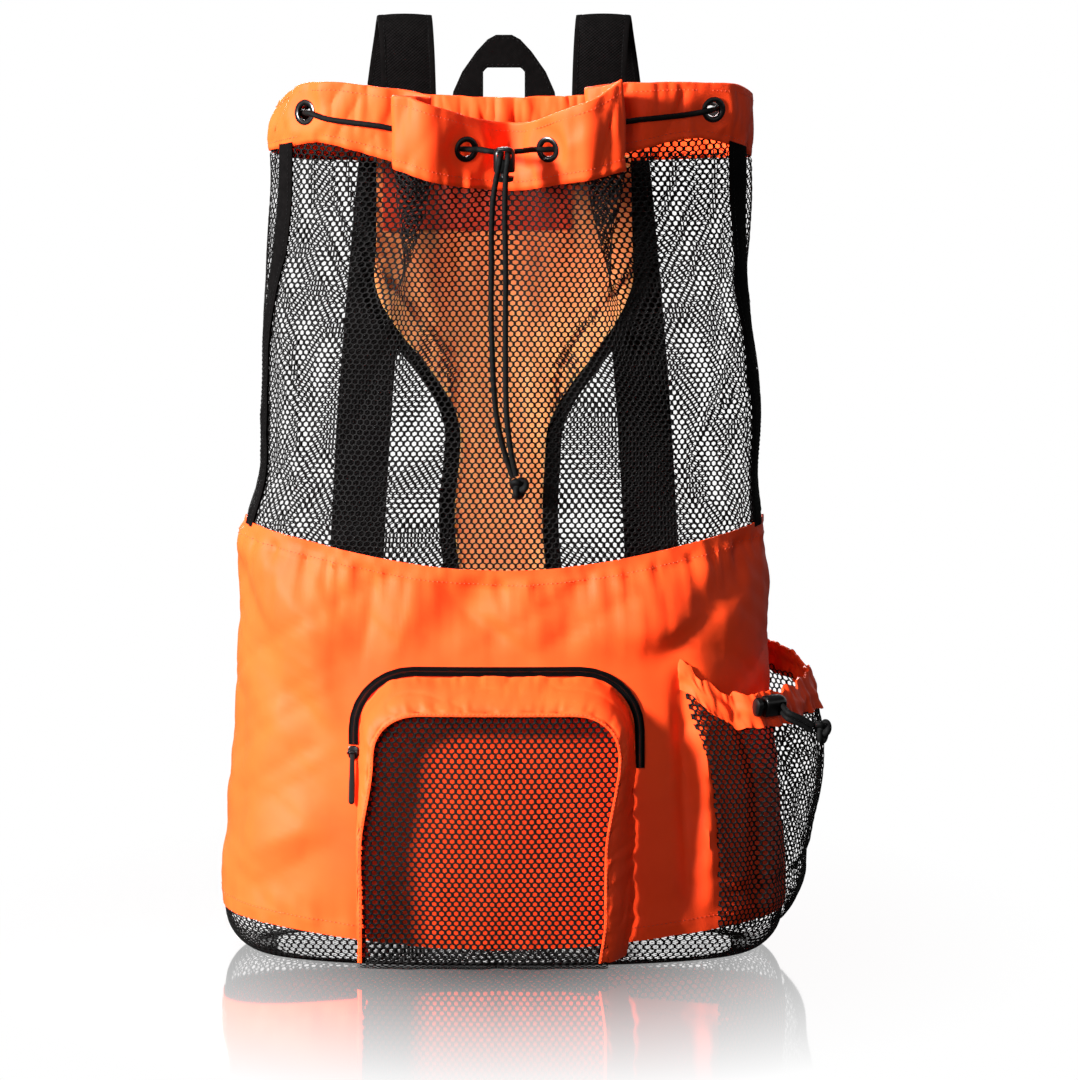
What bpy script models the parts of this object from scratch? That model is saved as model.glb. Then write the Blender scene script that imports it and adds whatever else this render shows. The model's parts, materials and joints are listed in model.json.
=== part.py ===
"""A mesh swim backpack that stands on its net base.

Metres throughout. X runs across the bag, -Y is its front, and Z is up from the floor.
The bag's wall is one surface with two coordinates: share runs once round the wall, from the
middle of the back past the right side (0.25) and the middle of the front (0.5) to the left
side (0.75), and height is the distance above the floor. Nearly every soft piece is cut from it.
"""

import math

import bmesh
import bpy
import numpy as np
from mathutils import Matrix, Vector

# Main sizes of the bag
RIM_HEIGHT = 0.606
BODY_WIDTH = 0.392
BODY_DEPTH = 0.192
WAIST_HEIGHT = 0.3055
WAIST_SAG = 0.025
WAIST_BACK_DROP = 0.058
BASE_HEM_HEIGHT = 0.034
BASE_HEM_SAG = 0.019
BASE_ROUND = 0.012
BASE_CORNER = 0.024

# Cloth, net, tape and the gap between two sewn pieces
FABRIC = 0.0012
NET = 0.0012
TAPE = 0.0015
SEAM_GAP = 0.0003
BUTT_GAP = 0.0008
LAY_GAP = 0.0005

# How far the base's middle ring of points lies out, and steps between points, as shares of the wall
BASE_RING = 0.4
NET_STEP = 0.0210
NET_FOLD_STEP = 0.0080
COLLAR_STEP = 0.0190
BODY_COLUMNS = 48
COLLAR_FOLD_STEP = 0.0062

# Collar
COLLAR_WIDTH = 0.340
COLLAR_DEPTH = 0.170
COLLAR_HEIGHT = 0.046
FOLD_REACH = 0.150
COLLAR_TAPER = 0.010
TAPER_REACH = 0.12

# Back panel and the tapes
PANEL_NECK = 0.057
PANEL_YOKE = 0.176
PANEL_FLARE_LOW = 0.390
PANEL_FLARE_HIGH = 0.492
BINDING_WIDTH = 0.011
SIDE_TAPE = 0.014
SIDE_SEAM_SHARE = 0.225
PATCH_WIDTH = 0.130
PATCH_HEIGHT = 0.048
PATCH_OFF_CENTRE = 0.020
PATCH_DROP = 0.014

# Front pocket
POCKET_WIDTH = 0.191
POCKET_TOP = 0.207
POCKET_CORNER = 0.038
POCKET_DEPTH = 0.026
POCKET_OFF_CENTRE = 0.005
GUSSET_DROP = 0.020
GUSSET_INSET = 0.011
POCKET_FOOT = 0.002
POCKET_TUCK = 0.006
POCKET_BULGE = 0.35
NET_CORNER = 0.8
ZIP_WIDTH = 0.0065
ZIP_THICK = 0.0018
SLIDER_WIDTH = 0.0075
SLIDER_THICK = 0.0024
SLIDER_LENGTH = 0.0095
PULL_EYE = 0.0012
PULL_LUG = 0.0012
PULL_WIDTH = 0.0045
PULL_THICK = 0.0014
PULL_LENGTH = 0.036
ZIP_END_HEIGHT = 0.142
ZIP_START_HEIGHT = 0.158

# Side pocket
SIDE_POCKET_BULGE = 0.036
SIDE_POCKET_FOOT = 0.024
SIDE_POCKET_FRONT_RIM = 0.2205
SIDE_POCKET_BACK_RIM = 0.221
SIDE_POCKET_DIP = 0.0275
SIDE_POCKET_BAND = 0.024
SIDE_POCKET_BACK = 0.150
SIDE_POCKET_FRONT = 0.352
POCKET_LOCK_PART = 0.75

# Cord, grommets and cord locks
CORD_DIAMETER = 0.004
GROMMET_RADIUS = 0.009
GROMMET_HOLE = 0.005
GROMMET_BARREL = 0.0066
GROMMET_THICK = 0.0032
CORD_GAP = 0.0005
CLAMP_REACH = 1.45
CORD_REACH = 1.6
LOCK_WIDTH = 0.0150
LOCK_DEPTH = 0.0110
LOCK_HEIGHT = 0.0175
LOCK_ROUND = 0.0025
LOCK_WINDOW_RISE = 0.0035
BUTTON_TRAVEL = 0.0030
BUTTON_HOLD = 0.0012
BUTTON_CAP = 0.0040
BUTTON_STEM = 0.0032
BUTTON_INSET = 0.0008
POCKET_CORD_START = 0.0050
CORD_STEP = 0.016
LOCK_WINDOW_WIDTH = 0.0100
LOCK_WINDOW_HEIGHT = 0.0056

# Straps and handle
STRAP_WIDTH = 0.038
STRAP_THICK = 0.004
STRAP_TOP_SPREAD = 0.066
STRAP_FOOT_SPREAD = 0.110
HANDLE_SEWN = 0.101
HANDLE_RISE = 0.028
HANDLE_LEAN = math.radians(4.5)
HANDLE_WIDTH = 0.074
HANDLE_GAP = 0.029
HANDLE_BAND = 0.023
HANDLE_THICK = 0.002
HANDLE_CORNER = 0.003

ORANGE = (0.95, 0.26, 0.045, 1.0)
BLACK = (0.012, 0.012, 0.013, 1.0)
GUNMETAL = (0.10, 0.10, 0.11, 1.0)

# The plain form of the bag at some heights. Heights are shares of RIM_HEIGHT, half widths of half
# BODY_WIDTH, front and back of BODY_DEPTH, and lean is how far the section leans to +X, as a share
# of BODY_WIDTH. Squareness 2 is an ellipse.
SECTIONS = (
    # height, half width, front, back, lean, squareness
    (0.000, 0.975, 0.505, 0.440, 0.000, 3.0),
    (0.060, 1.000, 0.530, 0.450, 0.000, 3.0),
    (0.165, 0.985, 0.535, 0.450, 0.000, 2.8),
    (0.280, 0.950, 0.515, 0.440, 0.000, 2.7),
    (0.395, 0.928, 0.485, 0.420, 0.000, 2.6),
    (0.500, 0.920, 0.460, 0.400, 0.000, 2.5),
    (0.540, 0.898, 0.450, 0.391, 0.006, 2.5),
    (0.625, 0.897, 0.425, 0.370, 0.010, 2.4),
    (0.740, 0.880, 0.390, 0.340, 0.005, 2.3),
    (0.870, 0.865, 0.350, 0.300, 0.009, 2.3),
    (1.050, 0.860, 0.320, 0.280, 0.011, 2.3),
)

# The collar's folded line, seen from above, from the middle of the back past the right side. The
# front flap stands proud between two S folds. X is a share of half COLLAR_WIDTH and Y of half
# COLLAR_DEPTH; hem and rim are how far the edges lie above their levels, as shares of COLLAR_HEIGHT.
COLLAR = (
    # x, y, hem, rim
    (0.000, 0.600, -0.30, -0.34),
    (0.350, 0.610, -0.30, -0.30),
    (0.680, 0.540, -0.25, -0.20),
    (0.915, 0.330, -0.16, -0.10),
    (1.018, 0.020, -0.05, -0.12),
    (0.955, -0.260, 0.16, 0.10),
    (0.795, -0.450, 0.36, 0.18),
    (0.600, -0.570, 0.26, 0.22),
    (0.420, -0.625, 0.10, 0.20),
    (0.345, -0.715, 0.02, 0.18),
    (0.420, -0.815, 0.00, 0.24),
    (0.490, -0.915, 0.00, 0.36),
    (0.420, -1.000, -0.06, 0.20),
    (0.240, -0.925, -0.20, -0.11),
    (0.045, -0.745, -0.36, -0.37),
    (-0.110, -0.830, -0.30, -0.26),
    (-0.285, -0.975, -0.16, -0.02),
    (-0.385, -0.990, -0.03, 0.10),
    (-0.445, -0.905, 0.03, 0.11),
    (-0.375, -0.810, 0.02, 0.08),
    (-0.300, -0.715, 0.00, 0.04),
    (-0.375, -0.625, 0.00, 0.09),
    (-0.560, -0.575, 0.15, 0.16),
    (-0.755, -0.470, 0.30, 0.20),
    (-0.895, -0.260, 0.16, 0.08),
    (-0.958, 0.020, 0.04, -0.22),
    (-0.880, 0.300, -0.15, -0.12),
    (-0.650, 0.510, -0.25, -0.16),
    (-0.350, 0.600, -0.30, -0.28),
)
# The rows at the middle of the back, the right side, the middle of the front and the left side
COLLAR_QUARTERS = (0, 4, 14, 25)
HEM_LEVEL = RIM_HEIGHT - COLLAR_HEIGHT

# Soft creases in the wall: each runs from one place to another on the wall, sinks by its depth
# (a share of BODY_DEPTH; minus stands proud) and fades over its half width (a share of BODY_WIDTH).
CREASES = (
    # share from, height from, share to, height to, depth, half width
    (0.385, 0.205, 0.300, 0.290, 0.030, 0.030),
    (0.366, 0.200, 0.373, 0.035, 0.040, 0.020),
    (0.405, 0.190, 0.330, 0.250, -0.022, 0.025),
    (0.620, 0.225, 0.655, 0.290, 0.022, 0.040),
    (0.640, 0.170, 0.730, 0.270, 0.020, 0.035),
    (0.520, 0.270, 0.560, 0.215, 0.018, 0.040),
    (0.440, 0.275, 0.455, 0.225, 0.016, 0.030),
    (0.700, 0.060, 0.720, 0.180, 0.014, 0.030),
    (0.100, 0.080, 0.140, 0.280, 0.020, 0.035),
    (0.900, 0.080, 0.870, 0.260, 0.020, 0.035),
    (0.330, 0.330, 0.290, 0.470, 0.022, 0.030),
    (0.660, 0.340, 0.700, 0.500, 0.020, 0.030),
    (0.560, 0.330, 0.590, 0.450, 0.014, 0.035),
    (0.220, 0.350, 0.240, 0.480, 0.018, 0.030),
    (0.790, 0.340, 0.770, 0.470, 0.018, 0.030),
)

# The grommets in the cord's order: the row of the collar's table at which each sits, and its level
# between the collar's hem and rim
GROMMET_ROWS = {
    "front left": (15.25, 0.55),
    "fold left": (21.1, 0.50),
    "side left": (23.5, 0.53),
    "back left": (26.3, 0.62),
    "back right": (2.7, 0.65),
    "side right": (5.65, 0.55),
    "fold right": (7.9, 0.50),
    "front right": (13.3, 0.54),
}
GROMMET_NAMES = tuple(GROMMET_ROWS)
GROMMETS = tuple(GROMMET_ROWS.values())
# The collar row that the cord rounds behind each S fold
FOLD_ROWS = {"front left": 20.0, "fold right": 9.0}

# The drawcord's lock, the steps by which each cord bends away behind it, and the hanging ends
LOCK_PLACE = Vector((0.0005, -0.0945, 0.5705))
LOCK_BEND = (
    (0.0, 0.0003, 0.0),
    (0.0, 0.0018, 0.0),
    (0.0020, 0.0038, 0.0),
    (0.0050, 0.0046, 0.0002),
    (0.0085, 0.0047, 0.0005),
)
TAIL_LEFT = (
    (-0.0024, -0.1032, 0.5730),
    (-0.0030, -0.1044, 0.5695),
    (-0.0044, -0.1040, 0.5620),
    (-0.0070, -0.1034, 0.5460),
    (-0.0084, -0.1010, 0.5000),
    (-0.0077, -0.0985, 0.4300),
    (-0.0045, -0.0965, 0.3880),
    (0.0020, -0.0955, 0.3600),
    (0.0062, -0.0957, 0.3478),
)
TAIL_RIGHT = (
    (0.0030, -0.1032, 0.5730),
    (0.0027, -0.1044, 0.5695),
    (0.0018, -0.1040, 0.5620),
    (0.0010, -0.1036, 0.5460),
    (0.0014, -0.1014, 0.5000),
    (0.0014, -0.0992, 0.4300),
    (0.0024, -0.0995, 0.3880),
    (0.0062, -0.1002, 0.3600),
    (0.0088, -0.1000, 0.3491),
)
KNOT_PLACE = (0.0108, -0.0982, 0.3408)
KNOT_SIZE = (0.0068, 0.0060, 0.0085)

# The side pocket's lock: which way its button and its cord point, and its cord's free end
POCKET_BUTTON_WAY = (-0.85, -0.52, 0.0)
POCKET_CORD_WAY = (0.49, -0.80, -0.35)
POCKET_TAIL = ((0.0100, -0.0125, -0.0050), (0.0190, -0.0125, -0.0090), (0.0270, -0.0110, -0.0140))
POCKET_KNOT = (0.0337, -0.0107, -0.0156)
POCKET_KNOT_SIZE = (0.0062, 0.0060, 0.0095)

# The side pocket's rim, from its back end (0) to its front end (1): how far it dips below the line
# between its ends, as a share of SIDE_POCKET_DIP
SIDE_POCKET_RIM = (
    # part, dip
    (0.00, 0.00),
    (0.20, 0.44),
    (0.45, 0.91),
    (0.65, 0.95),
    (0.80, 0.97),
    (0.87, 0.96),
    (0.93, 0.55),
    (0.97, 0.15),
    (1.00, 0.00),
)

# How far the side pocket stands off the wall between its foot (0) and its rim (1), as a share of
# SIDE_POCKET_BULGE: it widens upward, and its elastic draws the rim in again
SIDE_POCKET_SWELL = (
    # climb, stands off
    (0.00, 0.00),
    (0.06, 0.20),
    (0.12, 0.31),
    (0.24, 0.42),
    (0.37, 0.57),
    (0.49, 0.73),
    (0.62, 0.84),
    (0.75, 0.88),
    (0.88, 0.80),
    (1.00, 0.64),
)

# A shoulder strap's way from its seam behind the collar, over its crest and down to the base.
# Heights are shares of RIM_HEIGHT, stands off is a share of BODY_DEPTH behind the wall, and
# spread runs from STRAP_TOP_SPREAD (0) to STRAP_FOOT_SPREAD (1).
STRAP_ROUTE = (
    # height, stands off, spread
    (0.800, 0.000, 0.00),
    (0.850, 0.000, 0.00),
    (0.920, 0.036, 0.00),
    (1.000, 0.045, 0.02),
    (1.045, 0.070, 0.05),
    (1.063, 0.120, 0.08),
    (1.045, 0.180, 0.12),
    (0.960, 0.225, 0.28),
    (0.800, 0.250, 0.50),
    (0.600, 0.250, 0.72),
    (0.420, 0.225, 0.86),
    (0.250, 0.160, 0.94),
    (0.130, 0.060, 0.98),
    (0.090, 0.004, 1.00),
    (0.060, 0.000, 1.00),
)

# The haul handle's outer outline: X is a share of half HANDLE_WIDTH, height of its rise
HANDLE_OUTLINE = (
    # x, height
    (-1.000, 0.00),
    (-1.000, 0.60),
    (-0.960, 0.69),
    (-0.790, 0.80),
    (-0.520, 0.91),
    (-0.310, 0.975),
    (-0.150, 1.00),
)

LOOP_SAMPLES = 1440
LOOP_LEVELS = 62


def smooth(t):
    """0 below 0, 1 above 1, and an even ease between."""
    t = np.clip(t, 0.0, 1.0)
    return t * t * (3 - 2 * t)


def spline(knots, values, at):
    """A smooth curve through the values at the knots, read at some places."""
    knots, values = np.asarray(knots, float), np.asarray(values, float)
    slopes = np.gradient(values, knots)
    at = np.clip(np.asarray(at, float), knots[0], knots[-1])
    low = np.clip(np.searchsorted(knots, at, side="right") - 1, 0, len(knots) - 2)
    span = knots[low + 1] - knots[low]
    t = (at - knots[low]) / span
    rise = values[low + 1] - values[low]
    start, end = slopes[low] * span, slopes[low + 1] * span
    return values[low] + t * start + t * t * (3 * rise - 2 * start - end) + t**3 * (start + end - 2 * rise)


def ring_spline(knots, values, at, lap=1.0):
    """The same for values that repeat after one lap."""
    knots = list(knots)
    values = list(values)
    near = 4
    longer = [k - lap for k in knots[-near:]] + knots + [k + lap for k in knots[:near]]
    around = values[-near:] + values + values[:near]
    return spline(longer, around, np.mod(at, lap))


def signed_power(value, power):
    return np.sign(value) * np.abs(value) ** power


def evened(points, samples):
    """A closed line again, as points at even shares of its length."""
    closed = np.vstack([points, points[:1]])
    steps = np.linalg.norm(np.diff(closed[:, :2], axis=0), axis=1)
    along = np.concatenate([[0.0], np.cumsum(steps)])
    at = np.linspace(0.0, along[-1], samples + 1)[:-1]
    return np.stack([np.interp(at, along, column) for column in closed.T], axis=1)


def section_loop(height):
    """The plain form's outline at one height."""
    columns = np.array(SECTIONS).T
    half, front, back, lean, square = (
        float(spline(columns[0] * RIM_HEIGHT, column, height)) for column in columns[1:]
    )
    turn = np.linspace(0.0, 2 * math.pi, 4 * 360 + 1)[:-1]
    x = signed_power(np.sin(turn), 2 / square) * half * BODY_WIDTH / 2 + lean * BODY_WIDTH
    depth = np.where(np.cos(turn) > 0, back, front) * BODY_DEPTH
    y = signed_power(np.cos(turn), 2 / square) * depth
    return evened(np.stack([x, y], axis=1), LOOP_SAMPLES)


def collar_line():
    """The collar's folded line: x, y, hem height and rim height at even shares of the wall, and the
    share at which each row of its table lies. Each quarter of the wall has its own even spacing."""
    rows = np.array(COLLAR)
    plan = rows[:, :2] * (COLLAR_WIDTH / 2, COLLAR_DEPTH / 2)
    steps = np.linalg.norm(np.diff(np.vstack([plan, plan[:1]]), axis=0), axis=1)
    knots = np.concatenate([[0.0], np.cumsum(steps)])
    lap = knots[-1]
    hem_level = HEM_LEVEL + rows[:, 2] * COLLAR_HEIGHT
    rim_level = RIM_HEIGHT + rows[:, 3] * COLLAR_HEIGHT
    columns = (plan[:, 0], plan[:, 1], hem_level, rim_level)
    fine = np.linspace(0.0, lap, 4 * LOOP_SAMPLES + 1)
    line = np.stack([ring_spline(knots[:-1], column, fine, lap) for column in columns], axis=1)
    along = np.concatenate([[0.0], np.cumsum(np.linalg.norm(np.diff(line[:, :2], axis=0), axis=1))])
    row_along = np.interp(knots, fine, along)
    corners = [row_along[row] for row in COLLAR_QUARTERS] + [along[-1]]
    quarters = np.linspace(0.0, 1.0, len(corners))
    at = np.interp(np.linspace(0.0, 1.0, LOOP_SAMPLES + 1)[:-1], quarters, corners)
    even = np.stack([np.interp(at, along, column) for column in line.T], axis=1)
    return even, np.interp(row_along[:-1], corners, quarters)


LEVELS = np.linspace(0.0, SECTIONS[-1][0] * RIM_HEIGHT, LOOP_LEVELS)
SECTION_LOOPS = np.array([section_loop(level) for level in LEVELS])
COLLAR_LOOP, COLLAR_SHARES = collar_line()
FOLDS = ((COLLAR_SHARES[7], COLLAR_SHARES[12]), (COLLAR_SHARES[17], COLLAR_SHARES[22]))
GIRTH = float(np.linalg.norm(np.diff(SECTION_LOOPS[LOOP_LEVELS // 2], axis=0), axis=1).sum())


def on_loop(loop, share):
    """A column of a closed line's samples, read at shares of its length."""
    at = np.mod(share, 1.0) * len(loop)
    low = at.astype(int) % len(loop)
    part = (at - np.floor(at))[..., None]
    return loop[low] * (1 - part) + loop[(low + 1) % len(loop)] * part


def hem(share):
    """Height of the seam between net and collar."""
    return on_loop(COLLAR_LOOP[:, 2:3], np.asarray(share, float))[..., 0]


def rim(share):
    """Height of the collar's top edge."""
    return on_loop(COLLAR_LOOP[:, 3:4], np.asarray(share, float))[..., 0]


def front_bump(share):
    """1 at the middle of the front, 0 from the sides on round the back."""
    share = np.mod(share, 1.0)
    return np.where(np.abs(share - 0.5) < 0.25, np.cos((share - 0.5) * 2 * math.pi) ** 2, 0.0)


def back_bump(share):
    """1 across the flat of the back, 0 from the sides on round the front."""
    from_back = np.abs(np.mod(np.asarray(share, float) + 0.5, 1.0) - 0.5)
    return smooth((0.25 - from_back) / 0.09)


def waist(share):
    """Height of the lower body's top hem, straight between its columns."""
    columns = np.arange(BODY_COLUMNS + 1) / BODY_COLUMNS
    heights = WAIST_HEIGHT - WAIST_SAG * front_bump(columns) - WAIST_BACK_DROP * back_bump(columns)
    return np.interp(np.mod(share, 1.0), columns, heights)


def base_hem(share):
    """Height of the seam between the net base and the lower body."""
    return BASE_HEM_HEIGHT - BASE_HEM_SAG * front_bump(share)


def base_round(share):
    """Radius by which the net base turns up into the wall: small in front, larger at the ends."""
    return BASE_CORNER - (BASE_CORNER - BASE_ROUND) * front_bump(share)


def plain_wall(share, height):
    """X and Y of the wall without creases."""
    share, height = np.broadcast_arrays(np.asarray(share, float), np.asarray(height, float))
    level = np.clip(height / LEVELS[-1], 0, 1) * (LOOP_LEVELS - 1)
    low = np.minimum(level.astype(int), LOOP_LEVELS - 2)
    part = (level - low)[..., None]
    at = np.mod(share, 1.0) * LOOP_SAMPLES
    first = at.astype(int) % LOOP_SAMPLES
    next_one = (first + 1) % LOOP_SAMPLES
    between = (at - np.floor(at))[..., None]
    below = SECTION_LOOPS[low, first] * (1 - between) + SECTION_LOOPS[low, next_one] * between
    above = SECTION_LOOPS[low + 1, first] * (1 - between) + SECTION_LOOPS[low + 1, next_one] * between
    body = below * (1 - part) + above * part
    collar = on_loop(COLLAR_LOOP[:, :2], share)
    folded = smooth((height - hem(share) + FOLD_REACH) / FOLD_REACH)[..., None]
    left_end = smooth(1 - np.abs(np.mod(share, 1.0) - 0.75) / TAPER_REACH)
    drawn_in = COLLAR_TAPER * smooth((height - hem(share)) / COLLAR_HEIGHT) * left_end
    return body * (1 - folded) + collar * folded + drawn_in[..., None] * (1.0, 0.0)


def pocket_cover(share, height):
    """1 where the front pocket covers the wall, fading to 0 round it."""
    across = np.abs(share - 0.5) * GIRTH - POCKET_WIDTH / 2
    above = height - POCKET_TOP
    return 1 - smooth((np.maximum(across, above) - 0.004) / 0.03)


def creases(share, height):
    """How far the wall sinks at its soft creases."""
    depth = np.zeros(np.broadcast(share, height).shape)
    for from_share, from_height, to_share, to_height, sinks, half_width in CREASES:
        run = np.array([(to_share - from_share) * GIRTH, to_height - from_height])
        x = (np.mod(share, 1.0) - from_share) * GIRTH
        y = height - from_height
        along = np.clip((x * run[0] + y * run[1]) / (run @ run), 0, 1)
        away = np.hypot(x - along * run[0], y - along * run[1])
        depth = depth + sinks * BODY_DEPTH * np.exp(-((away / (half_width * BODY_WIDTH)) ** 2))
    edges = (
        smooth((height - base_hem(share)) / 0.03)
        * smooth(np.abs(height - waist(share)) / 0.02 + 0.25)
        * smooth((hem(share) - height) / 0.05)
    )
    return depth * edges * (1 - pocket_cover(share, height))


def wall(share, height, out=0.0):
    """Points of the wall, moved out of it by a distance. The last axis is x, y, z."""
    share, height = np.broadcast_arrays(np.asarray(share, float), np.asarray(height, float))
    step = 0.004
    place = plain_wall(share, height)
    run = plain_wall(share + step, height) - plain_wall(share - step, height)
    run = run / np.linalg.norm(run, axis=-1, keepdims=True)
    outward = np.stack([-run[..., 1], run[..., 0]], axis=-1)
    place = place + outward * np.asarray(out - creases(share, height))[..., None]
    return np.concatenate([place, height[..., None]], axis=-1)


def frame_at(share, height):
    """A place on the wall with its outward and its along direction, as vectors."""
    step = 0.003
    place = Vector(wall(share, height))
    along = Vector(wall(share + step, height) - wall(share - step, height)).normalized()
    up = Vector(wall(share, height + step) - wall(share, height - step)).normalized()
    outward = up.cross(along)
    return place, outward.normalized(), along


def front_share(x, height):
    """The share of the wall's front at which it has this X at this height."""
    shares = np.linspace(0.27, 0.73, 600)
    return float(np.interp(-x, -plain_wall(shares, height)[:, 0], shares))


def clear_scene():
    for obj in list(bpy.data.objects):
        bpy.data.objects.remove(obj)


def collection(name, hidden=False):
    made = bpy.data.collections.new(name)
    bpy.context.scene.collection.children.link(made)
    made.hide_render = hidden
    return made


def material(name, colour, roughness, metallic=0.0):
    made = bpy.data.materials.new(name)
    made.use_nodes = True
    shader = made.node_tree.nodes["Principled BSDF"]
    shader.inputs["Base Color"].default_value = colour
    shader.inputs["Roughness"].default_value = roughness
    shader.inputs["Metallic"].default_value = metallic
    made.diffuse_color = colour
    return made


clear_scene()
PARTS = collection("mesh_swim_backpack")
CUTTERS = collection("cutters")
NYLON = material("orange_nylon", ORANGE, 0.45)
MESH_NET = material("black_net", BLACK, 0.7)
WEBBING = material("black_webbing", BLACK, 0.8)
BRAID = material("black_cord", BLACK, 0.65)
PLASTIC = material("black_plastic", BLACK, 0.35)
METAL = material("gunmetal", GUNMETAL, 0.3, 0.9)


def add_object(name, data, finish, home=None):
    obj = bpy.data.objects.new(name, data)
    (home or PARTS).objects.link(obj)
    if finish is not None:
        data.materials.append(finish)
    return obj


def sheet_mesh(name, rows, around=False, closed_start=False):
    """A mesh of quads through rows of points. Around joins each row's end to its start, and
    closed_start fills the first row's ring."""
    rows = np.asarray(rows, float)
    high, wide = rows.shape[:2]
    mesh = bpy.data.meshes.new(name)
    columns = range(wide if around else wide - 1)
    faces = [
        (r * wide + c, (r + 1) * wide + c, (r + 1) * wide + (c + 1) % wide, r * wide + (c + 1) % wide)
        for r in range(high - 1)
        for c in columns
    ]
    if closed_start:
        faces.append(tuple(range(wide)))
    mesh.from_pydata(rows.reshape(-1, 3).tolist(), [], faces)
    mesh.shade_smooth()
    return mesh


def shell(name, rows, thick, finish, around=False, closed_start=False, side=-1.0):
    """A wall of even thickness: behind the sheet with side -1, about it with side 0."""
    obj = add_object(name, sheet_mesh(name, rows, around, closed_start), finish)
    skin = obj.modifiers.new("thickness", "SOLIDIFY")
    skin.thickness = thick
    skin.offset = side
    skin.use_even_offset = True
    skin.thickness_clamp = 0.0
    return obj


def tube(name, points, radius, finish, resolution=2):
    """A round cord along a line of points."""
    curve = bpy.data.curves.new(name, "CURVE")
    curve.dimensions = "3D"
    curve.bevel_depth = radius
    curve.bevel_resolution = resolution
    curve.use_fill_caps = True
    line = curve.splines.new("POLY")
    line.points.add(len(points) - 1)
    for point, place in zip(line.points, points):
        point.co = (*place, 1.0)
    return add_object(name, curve, finish)


def joined(name, objects, finish):
    """One solid from several that overlap."""
    first = objects[0]
    for i, other in enumerate(objects[1:]):
        union = first.modifiers.new(f"join_{i}", "BOOLEAN")
        union.operation = "UNION"
        union.object = other
    bpy.context.view_layer.update()
    graph = bpy.context.evaluated_depsgraph_get()
    mesh = bpy.data.meshes.new_from_object(first.evaluated_get(graph))
    mesh.transform(first.matrix_world)
    for obj in objects:
        bpy.data.objects.remove(obj)
    mesh.materials.clear()
    mesh.name = name
    return add_object(name, mesh, finish)


def block(name, size, place, finish, home=None, bevel=0.0):
    """A box with rounded edges, centred on a place."""
    mesh = bpy.data.meshes.new(name)
    shape = bmesh.new()
    bmesh.ops.create_cube(shape, size=1.0, matrix=Matrix.Diagonal((*size, 1.0)))
    shape.to_mesh(mesh)
    shape.free()
    obj = add_object(name, mesh, finish, home)
    obj.location = place
    if bevel:
        edge = obj.modifiers.new("edges", "BEVEL")
        edge.width = bevel
        edge.segments = 2
    return obj


def rod(name, radius, length, place, direction, finish, home=None, sides=16):
    """A cylinder centred on a place, along a direction."""
    mesh = bpy.data.meshes.new(name)
    shape = bmesh.new()
    bmesh.ops.create_cone(
        shape, cap_ends=True, segments=sides, radius1=radius, radius2=radius, depth=length
    )
    shape.to_mesh(mesh)
    shape.free()
    obj = add_object(name, mesh, finish, home)
    obj.location = place
    obj.rotation_mode = "QUATERNION"
    obj.rotation_quaternion = Vector(direction).to_track_quat("Z", "Y")
    return obj


def cut(obj, cutter):
    cutter.hide_render = True
    cutter.display_type = "WIRE"
    take = obj.modifiers.new("cut", "BOOLEAN")
    take.operation = "DIFFERENCE"
    take.object = cutter


def smooth_line(points):
    """A smooth curve through a few points: the points and one more between each two."""
    points = np.array([list(point) for point in points], float)
    steps = np.linalg.norm(np.diff(points, axis=0), axis=1)
    knots = np.concatenate([[0.0], np.cumsum(steps)])
    at = np.sort(np.concatenate([knots, (knots[1:] + knots[:-1]) / 2]))
    return np.stack([spline(knots, column, at) for column in points.T], axis=1)


def back_share(x, height):
    """The share of the wall's back at which it has this X; minus is left of the middle."""
    shares = np.linspace(-0.22, 0.22, 600)
    return float(np.interp(x, plain_wall(shares, height)[:, 0], shares))


def panel_half(height):
    """Half the width of the back panel at a height: narrow below, flaring to the yoke."""
    flare = smooth((height - PANEL_FLARE_LOW) / (PANEL_FLARE_HIGH - PANEL_FLARE_LOW))
    return PANEL_NECK / 2 + (PANEL_YOKE - PANEL_NECK) / 2 * float(flare)


def panel_line(side, extra):
    """The share, at each height, of a line beside the back panel: side 1 is the right."""
    lap = 0.0 if side > 0 else 1.0
    return lambda height: back_share(side * (panel_half(height) + extra), height) + lap


def seam_line(side, extra):
    """The share of a line beside the side seam, by so much further back."""
    return lambda height: 0.5 - side * (SIDE_SEAM_SHARE + extra / GIRTH)


def strip_rows(start, end, columns, levels):
    """Rows of wall points between two lines of shares, from the waist up to the collar."""
    rows = []
    for level in levels:
        row = []
        for column in columns:
            height = WAIST_HEIGHT + (HEM_LEVEL - WAIST_HEIGHT) * level
            for _ in range(2):
                share = start(height) + (end(height) - start(height)) * column
                low, high = float(waist(share)) + BUTT_GAP, float(hem(share)) - BUTT_GAP
                height = low + (high - low) * level
            row.append(wall(share, height))
        rows.append(row)
    return np.array(rows)


def body_columns(start, end):
    """Columns of a strip that meet the lower body's own, as shares of the strip's width."""
    low, high = start(WAIST_HEIGHT), end(WAIST_HEIGHT)
    first, last = math.ceil(low * BODY_COLUMNS + 0.25), math.floor(high * BODY_COLUMNS - 0.25)
    shares = np.array([low, *(np.arange(first, last + 1) / BODY_COLUMNS), high])
    return (shares - low) / (high - low)


def closer_shares(start, end, coarse, fine, ranges):
    """Shares from start to end that lie closer together within some ranges."""
    shares = [start]
    while end - shares[-1] > 1.5 * coarse:
        close = any(low - coarse < shares[-1] < high for low, high in ranges)
        shares.append(shares[-1] + (fine if close else coarse))
    return np.array([*shares, end])


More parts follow.
